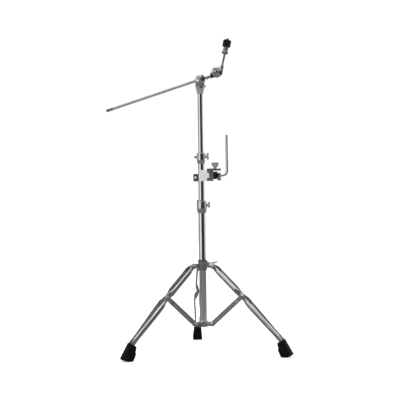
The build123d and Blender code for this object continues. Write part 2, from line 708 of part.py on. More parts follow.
# ---------------------------------------------------------------- height clamps
def build_lower_clamp():
    """Clamp casting on top of the base tube, with its turning bush and wing screw."""
    bush_bore = LOWER_BUSH_RADIUS + RUNNING_FIT
    bush_seat = BASE_TUBE_TOP + BUSH_SEAT_DROP
    boss_end = LOWER_BUSH_RADIUS + LOWER_BOSS_LENGTH
    rib_foot = LOWER_CLAMP_BOTTOM + LOWER_RIB_FOOT
    rib_top = LOWER_WING_HEIGHT - LOWER_BOSS_RADIUS / 2
    with BuildPart() as lower_clamp:
        with BuildSketch(Plane.XZ):
            with BuildLine():
                Polyline(
                    (0, LOWER_CLAMP_BOTTOM),
                    (BASE_TUBE_RADIUS + LOWER_CLAMP_WALL, LOWER_CLAMP_BOTTOM),
                    (LOWER_CLAMP_RADIUS, LOWER_CLAMP_BOTTOM + LOWER_CLAMP_SKIRT),
                    (LOWER_CLAMP_RADIUS, LOWER_CLAMP_TOP - CLAMP_TOP_CHAMFER),
                    (LOWER_CLAMP_RADIUS - CLAMP_TOP_CHAMFER, LOWER_CLAMP_TOP),
                    (0, LOWER_CLAMP_TOP),
                    close=True,
                )
            make_face()
        revolve(axis=Axis.Z)
        with BuildSketch(Plane.YZ.offset(LOWER_BUSH_RADIUS)):
            with Locations((0, LOWER_WING_HEIGHT)):
                Circle(LOWER_BOSS_RADIUS)
        extrude(amount=LOWER_BOSS_LENGTH)
        with BuildSketch(Plane.XZ):
            with BuildLine():
                Polyline(
                    (LOWER_BUSH_RADIUS, rib_top),
                    (boss_end, rib_top),
                    (LOWER_BUSH_RADIUS + 1, rib_foot),
                    (LOWER_BUSH_RADIUS, rib_foot),
                    close=True,
                )
            make_face()
        extrude(amount=LOWER_RIB_HALF_WIDTH, both=True)
        with BuildSketch(Plane.XY.offset(LOWER_CLAMP_STEP)):
            with Locations((LOWER_CLAMP_RADIUS - LOWER_LIP_BACK, 0)):
                Rectangle(2 * LOWER_CLAMP_RADIUS, 3 * LOWER_CLAMP_RADIUS)
        extrude(amount=LOWER_CLAMP_TOP - LOWER_CLAMP_STEP, mode=Mode.SUBTRACT)
        with BuildSketch(Plane.XY.offset(LOWER_CLAMP_BOTTOM)):
            Circle(BASE_TUBE_RADIUS)
        extrude(amount=bush_seat - LOWER_CLAMP_BOTTOM, mode=Mode.SUBTRACT)
        with BuildSketch(Plane.XY.offset(bush_seat)):
            Circle(bush_bore)
        extrude(amount=LOWER_CLAMP_TOP - bush_seat, mode=Mode.SUBTRACT)
        with BuildSketch(Plane.YZ.offset(LOWER_BUSH_RADIUS)):
            with Locations((0, LOWER_WING_HEIGHT)):
                Circle(LOWER_SCREW_RADIUS + RUNNING_FIT)
        extrude(amount=LOWER_BOSS_LENGTH + 1, mode=Mode.SUBTRACT)
    save(lower_clamp, "lower_clamp")

    bush_bottom = bush_seat + FREE_GAP
    bush_top = LOWER_CLAMP_STEP + LOWER_BUSH_RISE
    build_turned(
        "lower_bush",
        Plane.XZ,
        Axis.Z,
        (
            (MID_TUBE_RADIUS + RUNNING_FIT, bush_bottom),
            (LOWER_BUSH_RADIUS, bush_bottom),
            (LOWER_BUSH_RADIUS, bush_top - BUSH_TOP_CHAMFER),
            (LOWER_BUSH_RADIUS - BUSH_TOP_CHAMFER, bush_top),
            (MID_TUBE_RADIUS + RUNNING_FIT, bush_top),
        ),
    )
    build_wing_screw(
        "lower_wing_screw",
        Plane(
            origin=(boss_end + FREE_GAP, 0, LOWER_WING_HEIGHT),
            x_dir=(0, 0, 1),
            z_dir=(1, 0, 0),
        ),
        hub=(4.2, 6.0),
        shank=(LOWER_SCREW_RADIUS, 4.8),
        lobe_foot=(2.5, 3.6),
        lobe_tip=(6.9, 7.0),
        lobe_radius=3.6,
        thickness=4.0,
    )


def build_upper_clamp():
    """Clamp casting on top of the middle tube, with its turning bush and wing screw."""
    bush_bore = UPPER_BUSH_RADIUS + RUNNING_FIT
    bush_seat = MID_TUBE_TOP + BUSH_SEAT_DROP
    lug_root = -UPPER_BUSH_RADIUS - 0.4
    lug_tip = -UPPER_CLAMP_RADIUS - UPPER_LUG_REACH
    with BuildPart() as upper_clamp:
        with BuildSketch(Plane.XZ):
            with BuildLine():
                Polyline(
                    (0, UPPER_CLAMP_BOTTOM),
                    (MID_TUBE_RADIUS + UPPER_CLAMP_WALL, UPPER_CLAMP_BOTTOM),
                    (UPPER_CLAMP_RADIUS, UPPER_CLAMP_BOTTOM + UPPER_CLAMP_SKIRT),
                    (UPPER_CLAMP_RADIUS, UPPER_CLAMP_TOP - CLAMP_TOP_CHAMFER),
                    (UPPER_CLAMP_RADIUS - CLAMP_TOP_CHAMFER, UPPER_CLAMP_TOP),
                    (0, UPPER_CLAMP_TOP),
                    close=True,
                )
            make_face()
        revolve(axis=Axis.Z)
        with BuildSketch(Plane.YZ.offset(UPPER_BUSH_RADIUS)):
            with Locations((0, UPPER_WING_HEIGHT)):
                Circle(UPPER_BOSS_RADIUS)
        extrude(amount=UPPER_BOSS_LENGTH)
        with BuildSketch(Plane.XZ):
            with BuildLine():
                Polyline(
                    (lug_root, UPPER_WING_HEIGHT - UPPER_LUG_ROOT_DROP),
                    (lug_tip, UPPER_WING_HEIGHT - UPPER_LUG_TIP_DROP),
                    (lug_tip, UPPER_WING_HEIGHT - UPPER_LUG_TIP_DROP + UPPER_LUG_TIP_HEIGHT),
                    (lug_root, UPPER_WING_HEIGHT + UPPER_LUG_ROOT_RISE),
                    close=True,
                )
            make_face()
        extrude(amount=UPPER_LUG_HALF_WIDTH, both=True)
        with BuildSketch(Plane.XY.offset(UPPER_CLAMP_BOTTOM)):
            Circle(MID_TUBE_RADIUS)
        extrude(amount=bush_seat - UPPER_CLAMP_BOTTOM, mode=Mode.SUBTRACT)
        with BuildSketch(Plane.XY.offset(bush_seat)):
            Circle(bush_bore)
        extrude(amount=UPPER_CLAMP_TOP - bush_seat, mode=Mode.SUBTRACT)
        with BuildSketch(Plane.YZ.offset(UPPER_BUSH_RADIUS)):
            with Locations((0, UPPER_WING_HEIGHT)):
                Circle(UPPER_SCREW_RADIUS + RUNNING_FIT)
        extrude(amount=UPPER_BOSS_LENGTH + 1, mode=Mode.SUBTRACT)
    save(upper_clamp, "upper_clamp")

    bush_bottom = bush_seat + FREE_GAP
    bush_top = UPPER_CLAMP_TOP + UPPER_BUSH_RISE
    build_turned(
        "upper_bush",
        Plane.XZ,
        Axis.Z,
        (
            (UPPER_TUBE_RADIUS + RUNNING_FIT, bush_bottom),
            (UPPER_BUSH_RADIUS, bush_bottom),
            (UPPER_BUSH_RADIUS, bush_top - BUSH_TOP_CHAMFER),
            (UPPER_BUSH_RADIUS - BUSH_TOP_CHAMFER, bush_top),
            (UPPER_TUBE_RADIUS + RUNNING_FIT, bush_top),
        ),
    )
    build_wing_screw(
        "upper_wing_screw",
        Plane(
            origin=(UPPER_BUSH_RADIUS + UPPER_BOSS_LENGTH + FREE_GAP, 0, UPPER_WING_HEIGHT),
            x_dir=(0, 0, 1),
            z_dir=(1, 0, 0),
        ),
        hub=(4.0, 6.0),
        shank=(UPPER_SCREW_RADIUS, 4.6),
        lobe_foot=(2.8, 3.8),
        lobe_tip=(8.6, 7.2),
        lobe_radius=3.7,
        thickness=4.0,
    )


# ---------------------------------------------------------------- accessory clamp
def clamp_shell_outline(side):
    """Plan outline of one clamp half round the tube. side is +1 behind and -1 in front."""
    return (
        (TOM_SHELL_LEFT, side * TOM_SPLIT),
        (TOM_SHELL_LEFT, side * (TOM_HALF_DEPTH - TOM_SHELL_BEVEL_DEPTH)),
        (TOM_SHELL_LEFT + TOM_SHELL_BEVEL, side * TOM_HALF_DEPTH),
        (TOM_SHELL_RIGHT, side * TOM_HALF_DEPTH),
        (TOM_SHELL_RIGHT, side * TOM_SPLIT),
    )


def clamp_ear_outline(side):
    """Plan outline of the ear that takes the clamp bolt."""
    return (
        (TOM_BOLT_X - TOM_EAR_REACH, side * TOM_SPLIT),
        (TOM_BOLT_X - TOM_EAR_REACH, side * TOM_EAR_HALF_DEPTH),
        (TOM_BOLT_X + TOM_EAR_ROOT, side * TOM_EAR_HALF_DEPTH),
        (TOM_SHELL_LEFT, side * (TOM_HALF_DEPTH - TOM_SHELL_BEVEL_DEPTH)),
        (TOM_SHELL_LEFT, side * TOM_SPLIT),
    )


def build_tom_clamp_halves():
    """Fixed rear half with the ball block, and the hinged front jaw."""
    tube_bore = MID_TUBE_RADIUS + RUNNING_FIT
    knuckle_split = (TOM_BOTTOM + TOM_KNUCKLE_HEIGHT, TOM_TOP - TOM_KNUCKLE_HEIGHT)
    web_end = TOM_HINGE_X + TOM_KNUCKLE_RADIUS + 2 * FREE_GAP
    bridge_length = BALL_CAP_START - TOM_BRIDGE_START
    with BuildPart() as tom_clamp_body:
        with BuildSketch(Plane.XY.offset(TOM_BOTTOM)):
            with BuildLine():
                Polyline(*clamp_shell_outline(1), close=True)
            make_face()
        extrude(amount=TOM_TOP - TOM_BOTTOM)
        with BuildSketch(Plane.XY.offset(TOM_EAR_BOTTOM + 1)):
            with BuildLine():
                Polyline(*clamp_ear_outline(1), close=True)
            make_face()
        extrude(amount=TOM_EAR_TOP - TOM_EAR_BOTTOM - 1)
        with BuildSketch(Plane.XY.offset(TOM_BOTTOM)):
            with BuildLine():
                Polyline(
                    (TOM_SHELL_RIGHT - 1, TOM_SPLIT),
                    (web_end, TOM_SPLIT),
                    (web_end, -TOM_BLOCK_HALF_DEPTH),
                    (TOM_BLOCK_END, -TOM_BLOCK_HALF_DEPTH),
                    (TOM_BLOCK_END, TOM_BLOCK_HALF_DEPTH),
                    (TOM_BLOCK_START, TOM_HALF_DEPTH),
                    (TOM_SHELL_RIGHT - 1, TOM_HALF_DEPTH),
                    close=True,
                )
            make_face()
        extrude(amount=TOM_BLOCK_TOP - TOM_BOTTOM)
        for bottom, top in ((TOM_BOTTOM, knuckle_split[0]), (knuckle_split[1], TOM_TOP)):
            with BuildSketch(Plane.XY.offset(bottom)):
                with Locations((TOM_HINGE_X, TOM_HINGE_Y)):
                    Circle(TOM_KNUCKLE_RADIUS)
                with Locations((TOM_HINGE_X + TOM_KNUCKLE_TIE / 2, TOM_HINGE_Y)):
                    Rectangle(TOM_KNUCKLE_TIE, 2 * TOM_KNUCKLE_RADIUS)
            extrude(amount=top - bottom)
        with BuildSketch(Plane.XZ.offset(-TOM_BRIDGE_HALF_WIDTH)):
            with Locations((TOM_BRIDGE_START, TOM_BLOCK_TOP)):
                Rectangle(bridge_length, TOM_BRIDGE_THICKNESS, align=(Align.MIN, Align.MAX))
        extrude(amount=2 * TOM_BRIDGE_HALF_WIDTH)
        with BuildSketch(Plane.XY.offset(TOM_BOTTOM)):
            Circle(tube_bore)
        extrude(amount=TOM_BLOCK_TOP - TOM_BOTTOM, mode=Mode.SUBTRACT)
        with Locations((BALL_X, 0, BALL_HEIGHT)):
            Sphere(BALL_RADIUS + RUNNING_FIT, mode=Mode.SUBTRACT)
        with BuildSketch(Plane.YZ.offset(TOM_RELIEF_START)):
            with Locations((0, BALL_HEIGHT)):
                Circle(TOM_SOCKET_RELIEF)
        extrude(amount=BALL_X - TOM_RELIEF_START, mode=Mode.SUBTRACT)
        with BuildSketch(Plane.XY.offset(TOM_BOTTOM)):
            with Locations((TOM_HINGE_X, TOM_HINGE_Y)):
                Circle(TOM_HINGE_PIN_RADIUS)
        extrude(amount=TOM_BLOCK_TOP - TOM_BOTTOM, mode=Mode.SUBTRACT)
        with BuildSketch(Plane.XZ.offset(-TOM_HALF_DEPTH)):
            with Locations((TOM_BOLT_X, TOM_BOLT_HEIGHT)):
                Circle(TOM_BOLT_RADIUS)
        extrude(amount=TOM_HALF_DEPTH, mode=Mode.SUBTRACT)
        with BuildSketch(Plane.XY.offset(TOM_BLOCK_TOP)):
            with Locations((BALL_X, 0)):
                Circle(BALL_SCREW_RADIUS + RUNNING_FIT)
        extrude(amount=-BALL_SCREW_HOLE_DEPTH, mode=Mode.SUBTRACT)
    save(tom_clamp_body, "tom_clamp_body")

    with BuildPart() as tom_clamp_jaw:
        with BuildSketch(Plane.XY.offset(TOM_BOTTOM)):
            with BuildLine():
                Polyline(*clamp_shell_outline(-1), close=True)
            make_face()
        extrude(amount=TOM_TOP - TOM_BOTTOM)
        with BuildSketch(Plane.XY.offset(TOM_EAR_BOTTOM)):
            with BuildLine():
                Polyline(*clamp_ear_outline(-1), close=True)
            make_face()
        extrude(amount=TOM_EAR_TOP - TOM_EAR_BOTTOM)
        with BuildSketch(Plane.XY.offset(TOM_BOTTOM)):
            with Locations((TOM_HINGE_X, TOM_HINGE_Y)):
                Circle(TOM_KNUCKLE_RADIUS + FREE_GAP)
        extrude(amount=TOM_TOP - TOM_BOTTOM, mode=Mode.SUBTRACT)
        with BuildSketch(Plane.XY.offset(knuckle_split[0] + FREE_GAP)):
            with Locations((TOM_HINGE_X, TOM_HINGE_Y)):
                Circle(TOM_KNUCKLE_RADIUS)
            with Locations((TOM_HINGE_X - TOM_KNUCKLE_TIE / 2, TOM_HINGE_Y)):
                Rectangle(TOM_KNUCKLE_TIE, 2 * TOM_KNUCKLE_RADIUS - 1)
        extrude(amount=knuckle_split[1] - knuckle_split[0] - 2 * FREE_GAP)
        with BuildSketch(Plane.XY.offset(TOM_EAR_BOTTOM)):
            Circle(tube_bore)
            with Locations((TOM_HINGE_X, TOM_HINGE_Y)):
                Circle(TOM_HINGE_PIN_RADIUS + RUNNING_FIT)
        extrude(amount=TOM_TOP - TOM_EAR_BOTTOM, mode=Mode.SUBTRACT)
        with BuildSketch(Plane.XZ):
            with Locations((TOM_BOLT_X, TOM_BOLT_HEIGHT)):
                Circle(TOM_BOLT_RADIUS)
        extrude(amount=TOM_HALF_DEPTH, mode=Mode.SUBTRACT)
    save(tom_clamp_jaw, "tom_clamp_jaw")


def build_tom_clamp_fasteners():
    """Hinge pin, through bolt with its wing nut, and the T screw that locks the ball."""
    with BuildPart() as tom_hinge_pin:
        with BuildSketch(Plane.XY.offset(TOM_BOTTOM)):
            with Locations((TOM_HINGE_X, TOM_HINGE_Y)):
                Circle(TOM_HINGE_PIN_RADIUS)
        extrude(amount=TOM_TOP - TOM_BOTTOM)
    save(tom_hinge_pin, "tom_hinge_pin")

    with BuildPart() as tom_clamp_bolt:
        with BuildSketch(Plane.XZ.offset(TOM_EAR_HALF_DEPTH)):
            with Locations((TOM_BOLT_X, TOM_BOLT_HEIGHT)):
                Circle(TOM_BOLT_HEAD_RADIUS)
        extrude(amount=TOM_BOLT_HEAD_HEIGHT, taper=TOM_BOLT_HEAD_TAPER)
        with BuildSketch(Plane.XZ.offset(TOM_EAR_HALF_DEPTH)):
            with Locations((TOM_BOLT_X, TOM_BOLT_HEIGHT)):
                Circle(TOM_BOLT_RADIUS)
        extrude(amount=-TOM_BOLT_LENGTH)
    save(tom_clamp_bolt, "tom_clamp_bolt")

    build_wing_nut(
        "tom_wing_nut",
        Plane(
            origin=(TOM_BOLT_X, TOM_EAR_HALF_DEPTH + FREE_GAP, TOM_BOLT_HEIGHT),
            x_dir=(0, 0, 1),
            z_dir=(0, 1, 0),
        ),
        hub=(6.0, 9.0),
        bore_radius=TOM_BOLT_RADIUS + RUNNING_FIT,
        lobe_foot=(3.0, 5.0),
        lobe_tip=(5.5, 10.0),
        lobe_radius=3.0,
        thickness=4.0,
    )
    build_wing_screw(
        "tom_ball_screw",
        Plane(origin=(BALL_X, 0, TOM_BLOCK_TOP + FREE_GAP), x_dir=(1, 0, 0), z_dir=(0, 0, 1)),
        hub=(4.4, 9.0),
        shank=(BALL_SCREW_RADIUS, 8.6),
        lobe_foot=(3.0, 9.5),
        lobe_tip=(6.8, 15.5),
        lobe_radius=6.5,
        thickness=6.0,
    )


def build_ball_and_rod():
    """Nylon ball, the chrome cap that closes on it, and the L-shaped rod through the ball."""
    cap_axis = Axis(origin=(0, 0, BALL_HEIGHT), direction=(1, 0, 0))
    cap_plane = Plane(origin=(0, 0, BALL_HEIGHT), x_dir=(1, 0, 0), z_dir=(0, -1, 0))
    with BuildPart() as tom_ball_cap:
        with BuildSketch(Plane.YZ.offset(BALL_CAP_START)):
            with Locations((0, BALL_HEIGHT)):
                Circle(BALL_CAP_RADIUS)
            with Locations((0, TOM_BLOCK_TOP - BALL_CAP_TAB_HEIGHT / 2)):
                Rectangle(2 * TOM_BRIDGE_HALF_WIDTH, BALL_CAP_TAB_HEIGHT)
        extrude(amount=BALL_CAP_END - BALL_CAP_START)
        with BuildSketch(cap_plane):
            with BuildLine():
                Polyline(
                    (BALL_CAP_START - 1, 0),
                    (BALL_CAP_START - 1, BALL_CAP_SEAT),
                    (BALL_CAP_START, BALL_CAP_SEAT),
                    (BALL_CAP_START + BALL_CAP_SEAT_DEPTH, BALL_CAP_HOLE),
                    (BALL_CAP_END + 1, BALL_CAP_HOLE),
                    (BALL_CAP_END + 1, 0),
                    close=True,
                )
            make_face()
        revolve(axis=cap_axis, mode=Mode.SUBTRACT)
        with BuildSketch(Plane.XZ):
            with Locations(((BALL_CAP_START + BALL_CAP_END) / 2, BALL_HEIGHT)):
                Rectangle(2 * (BALL_CAP_END - BALL_CAP_START), BALL_CAP_SLOT)
        extrude(amount=BALL_CAP_RADIUS + 1, mode=Mode.SUBTRACT)
    save(tom_ball_cap, "tom_ball_cap")

    with BuildPart() as tom_ball:
        with Locations((BALL_X, 0, BALL_HEIGHT)):
            Sphere(BALL_RADIUS)
        with BuildSketch(Plane.YZ.offset(BALL_X - 2 * BALL_RADIUS)):
            with Locations((0, BALL_HEIGHT)):
                Circle(L_ROD_RADIUS + RUNNING_FIT)
        extrude(amount=4 * BALL_RADIUS, mode=Mode.SUBTRACT)
    save(tom_ball, "tom_ball")

    with BuildPart() as l_rod:
        with BuildLine():
            FilletPolyline(
                (L_ROD_START, 0, BALL_HEIGHT),
                (L_ROD_UPRIGHT_X, 0, BALL_HEIGHT),
                (L_ROD_UPRIGHT_X, 0, L_ROD_TOP),
                radius=L_ROD_BEND,
            )
        with BuildSketch(Plane.YZ.offset(L_ROD_START)):
            with Locations((0, BALL_HEIGHT)):
                Circle(L_ROD_RADIUS)
        sweep()
        end_edges = l_rod.edges().filter_by(GeomType.CIRCLE).sort_by(Axis.Z)[-1]
        fillet(end_edges, radius=L_ROD_TIP_RADIUS)
    save(l_rod, "l_rod")


# ---------------------------------------------------------------- boom tilter
def build_boom_tilter():
    """Casting on the upper tube, and the drum that grips the boom on its own tilt bolt."""
    screw_centre = (TILTER_SCREW_X, TILTER_SHOULDER - TILTER_SCREW_DROP)
    with BuildPart() as tilter_base:
        with BuildSketch(Plane.XZ):
            with BuildLine():
                Polyline(
                    (0, TILTER_SOCKET_BOTTOM),
                    (UPPER_TUBE_RADIUS + TILTER_SOCKET_WALL, TILTER_SOCKET_BOTTOM),
                    (TILTER_SHOULDER_RADIUS, TILTER_SHOULDER - TILTER_SHOULDER_BAND),
                    (TILTER_SHOULDER_RADIUS, TILTER_SHOULDER),
                    (0, TILTER_SHOULDER),
                    close=True,
                )
            make_face()
        revolve(axis=Axis.Z)
        with BuildSketch(Plane.XZ.offset(-TILTER_EAR_FRONT)):
            with Locations((0, TILTER_PIVOT_HEIGHT)):
                Circle(TILTER_DISC_RADIUS)
            with Locations((0, TILTER_SHOULDER + TILTER_WAIST_HEIGHT / 4)):
                Rectangle(2 * TILTER_SHOULDER_RADIUS, TILTER_WAIST_HEIGHT)
        extrude(amount=TILTER_EAR_FRONT - TILTER_EAR_BACK)
        with BuildSketch(Plane.XZ.offset(-TILTER_LUG_HALF_DEPTH)):
            with Locations((TILTER_LUG_X, TILTER_SHOULDER - TILTER_LUG_DROP)):
                Rectangle(TILTER_LUG_WIDTH, TILTER_LUG_HEIGHT)
        extrude(amount=2 * TILTER_LUG_HALF_DEPTH)
        with BuildSketch(Plane.XZ.offset(-TILTER_FRONT)):
            with Locations((0, TILTER_SHOULDER - TILTER_DISC_RADIUS)):
                Rectangle(4 * TILTER_DISC_RADIUS, 4 * TILTER_DISC_RADIUS)
        extrude(amount=TILTER_DISC_RADIUS, mode=Mode.SUBTRACT)
        with BuildSketch(Plane.XY.offset(TILTER_SOCKET_BOTTOM)):
            Circle(UPPER_TUBE_RADIUS)
        extrude(amount=UPPER_TUBE_TOP - TILTER_SOCKET_BOTTOM, mode=Mode.SUBTRACT)
        with BuildSketch(Plane.XZ.offset(-TILTER_EAR_BACK)):
            with Locations((0, TILTER_PIVOT_HEIGHT)):
                Circle(TILT_BOLT_RADIUS + RUNNING_FIT)
        extrude(amount=2 * TILTER_DISC_RADIUS, mode=Mode.SUBTRACT)
        with BuildSketch(Plane.XZ.offset(-TILTER_FRONT)):
            with Locations(screw_centre):
                Circle(TILTER_SCREW_RADIUS)
        extrude(amount=-TILTER_SCREW_HOLE_DEPTH, mode=Mode.SUBTRACT)
    save(tilter_base, "tilter_base")

    with BuildPart() as tilter_screw:
        with BuildSketch(Plane.XZ.offset(-TILTER_FRONT)):
            with Locations(screw_centre):
                Circle(TILTER_SCREW_RADIUS)
        extrude(amount=-TILTER_SCREW_LENGTH)
        with BuildSketch(Plane.XZ.offset(-TILTER_FRONT)):
            with Locations(screw_centre):
                Circle(TILTER_SCREW_HEAD_RADIUS)
        extrude(amount=TILTER_SCREW_HEAD_HEIGHT)
        with BuildSketch(Plane.XZ.offset(TILTER_SCREW_HEAD_HEIGHT - TILTER_FRONT)):
            with Locations(screw_centre):
                RegularPolygon(TILTER_SCREW_SOCKET_RADIUS, 6)
        extrude(amount=-TILTER_SCREW_SOCKET_DEPTH, mode=Mode.SUBTRACT)
    save(tilter_screw, "tilter_screw")

    drum_back = TILTER_EAR_FRONT - FREE_GAP
    with BuildPart() as boom_drum:
        with BuildSketch(Plane.XZ.offset(-drum_back)):
            with Locations((0, TILTER_PIVOT_HEIGHT)):
                Circle(TILTER_DISC_RADIUS)
        extrude(amount=drum_back - DRUM_FRONT)
        drum_rims = boom_drum.edges().filter_by(GeomType.CIRCLE).sort_by(Axis.Y)[0]
        chamfer(drum_rims, length=DRUM_CHAMFER)
        with BuildSketch(Plane.XZ.offset(-drum_back)):
            with Locations((0, TILTER_PIVOT_HEIGHT)):
                Circle(TILT_BOLT_RADIUS)
        extrude(amount=2 * TILTER_DISC_RADIUS, mode=Mode.SUBTRACT)
        with BuildSketch(Plane.XZ.offset(-BOOM_Y - EYE_THICKNESS / 2)):
            with Locations((0, TILTER_PIVOT_HEIGHT)):
                Circle(EYE_RADIUS)
        extrude(amount=EYE_THICKNESS, mode=Mode.SUBTRACT)
        with BuildSketch(Plane(origin=TILTER_PIVOT, x_dir=(0, 1, 0), z_dir=BOOM_DIRECTION)):
            Circle(BOOM_RADIUS + RUNNING_FIT)
        extrude(amount=2 * TILTER_DISC_RADIUS, both=True, mode=Mode.SUBTRACT)
    save(boom_drum, "boom_drum")

    with BuildPart() as tilt_bolt:
        with BuildSketch(Plane.XZ.offset(-BOOM_Y - EYE_THICKNESS / 2)):
            with Locations((0, TILTER_PIVOT_HEIGHT)):
                Circle(EYE_RADIUS)
        extrude(amount=EYE_THICKNESS)
        with BuildSketch(Plane.XZ.offset(-TILTER_EAR_BACK - TILT_BOLT_BACK)):
            with Locations((0, TILTER_PIVOT_HEIGHT)):
                Circle(TILT_BOLT_RADIUS)
        extrude(amount=TILTER_EAR_BACK + TILT_BOLT_BACK - DRUM_FRONT + TILT_BOLT_FRONT)
        with BuildSketch(Plane(origin=TILTER_PIVOT, x_dir=(0, 1, 0), z_dir=BOOM_DIRECTION)):
            Circle(BOOM_RADIUS + RUNNING_FIT)
        extrude(amount=2 * TILTER_DISC_RADIUS, both=True, mode=Mode.SUBTRACT)
    save(tilt_bolt, "tilt_bolt")

    with BuildPart() as tilt_lock_nut:
        with BuildSketch(Plane.XZ.offset(-TILTER_EAR_BACK - FREE_GAP)):
            with Locations((0, TILTER_PIVOT_HEIGHT)):
                RegularPolygon(TILT_NUT_RADIUS, 6)
                Circle(TILT_BOLT_RADIUS, mode=Mode.SUBTRACT)
        extrude(amount=-TILT_NUT_HEIGHT)
    save(tilt_lock_nut, "tilt_lock_nut")

    wing_angle = radians(BOOM_WING_ANGLE)
    build_wing_nut(
        "boom_wing_nut",
        Plane(
            origin=(0, DRUM_FRONT - FREE_GAP, TILTER_PIVOT_HEIGHT),
            x_dir=(cos(wing_angle), 0, sin(wing_angle)),
            z_dir=(0, -1, 0),
        ),
        hub=(7.0, 10.0),
        bore_radius=TILT_BOLT_RADIUS + RUNNING_FIT,
        lobe_foot=(8.0, 8.0),
        lobe_tip=(15.5, 13.5),
        lobe_radius=5.0,
        thickness=5.0,
    )


# ---------------------------------------------------------------- boom
def build_boom():
    """Knurled boom rod with its end cap, the stop sleeve and the neck bush."""
    tail = -BOOM_TAIL + BOOM_CAP_LENGTH
    outline = [(tail, 0), (tail, BOOM_RADIUS)]
    for groove in BOOM_GROOVES:
        outline.append((groove - BOOM_GROOVE_WIDTH / 2, BOOM_RADIUS))
        outline.append((groove - BOOM_GROOVE_WIDTH / 2, BOOM_RADIUS - BOOM_GROOVE_DEPTH))
        outline.append((groove + BOOM_GROOVE_WIDTH / 2, BOOM_RADIUS - BOOM_GROOVE_DEPTH))
        outline.append((groove + BOOM_GROOVE_WIDTH / 2, BOOM_RADIUS))
    outline += [(BOOM_TIP, BOOM_RADIUS), (BOOM_TIP, 0)]
    build_turned("boom_rod", BOOM_PLANE, BOOM_AXIS, outline)
    build_turned(
        "boom_end_cap",
        BOOM_PLANE,
        BOOM_AXIS,
        (
            (tail, 0),
            (tail, BOOM_RADIUS),
            (-BOOM_TAIL + BOOM_CAP_BEVEL, BOOM_RADIUS),
            (-BOOM_TAIL, BOOM_RADIUS - BOOM_CAP_BEVEL),
            (-BOOM_TAIL, 0),
        ),
    )
    build_turned(
        "boom_sleeve",
        BOOM_PLANE,
        BOOM_AXIS,
        (
            (SLEEVE_START, BOOM_RADIUS),
            (SLEEVE_START, SLEEVE_RADIUS - SLEEVE_CHAMFER),
            (SLEEVE_START + SLEEVE_CHAMFER, SLEEVE_RADIUS),
            (SLEEVE_END, SLEEVE_RADIUS),
            (SLEEVE_END, BOOM_RADIUS),
        ),
    )


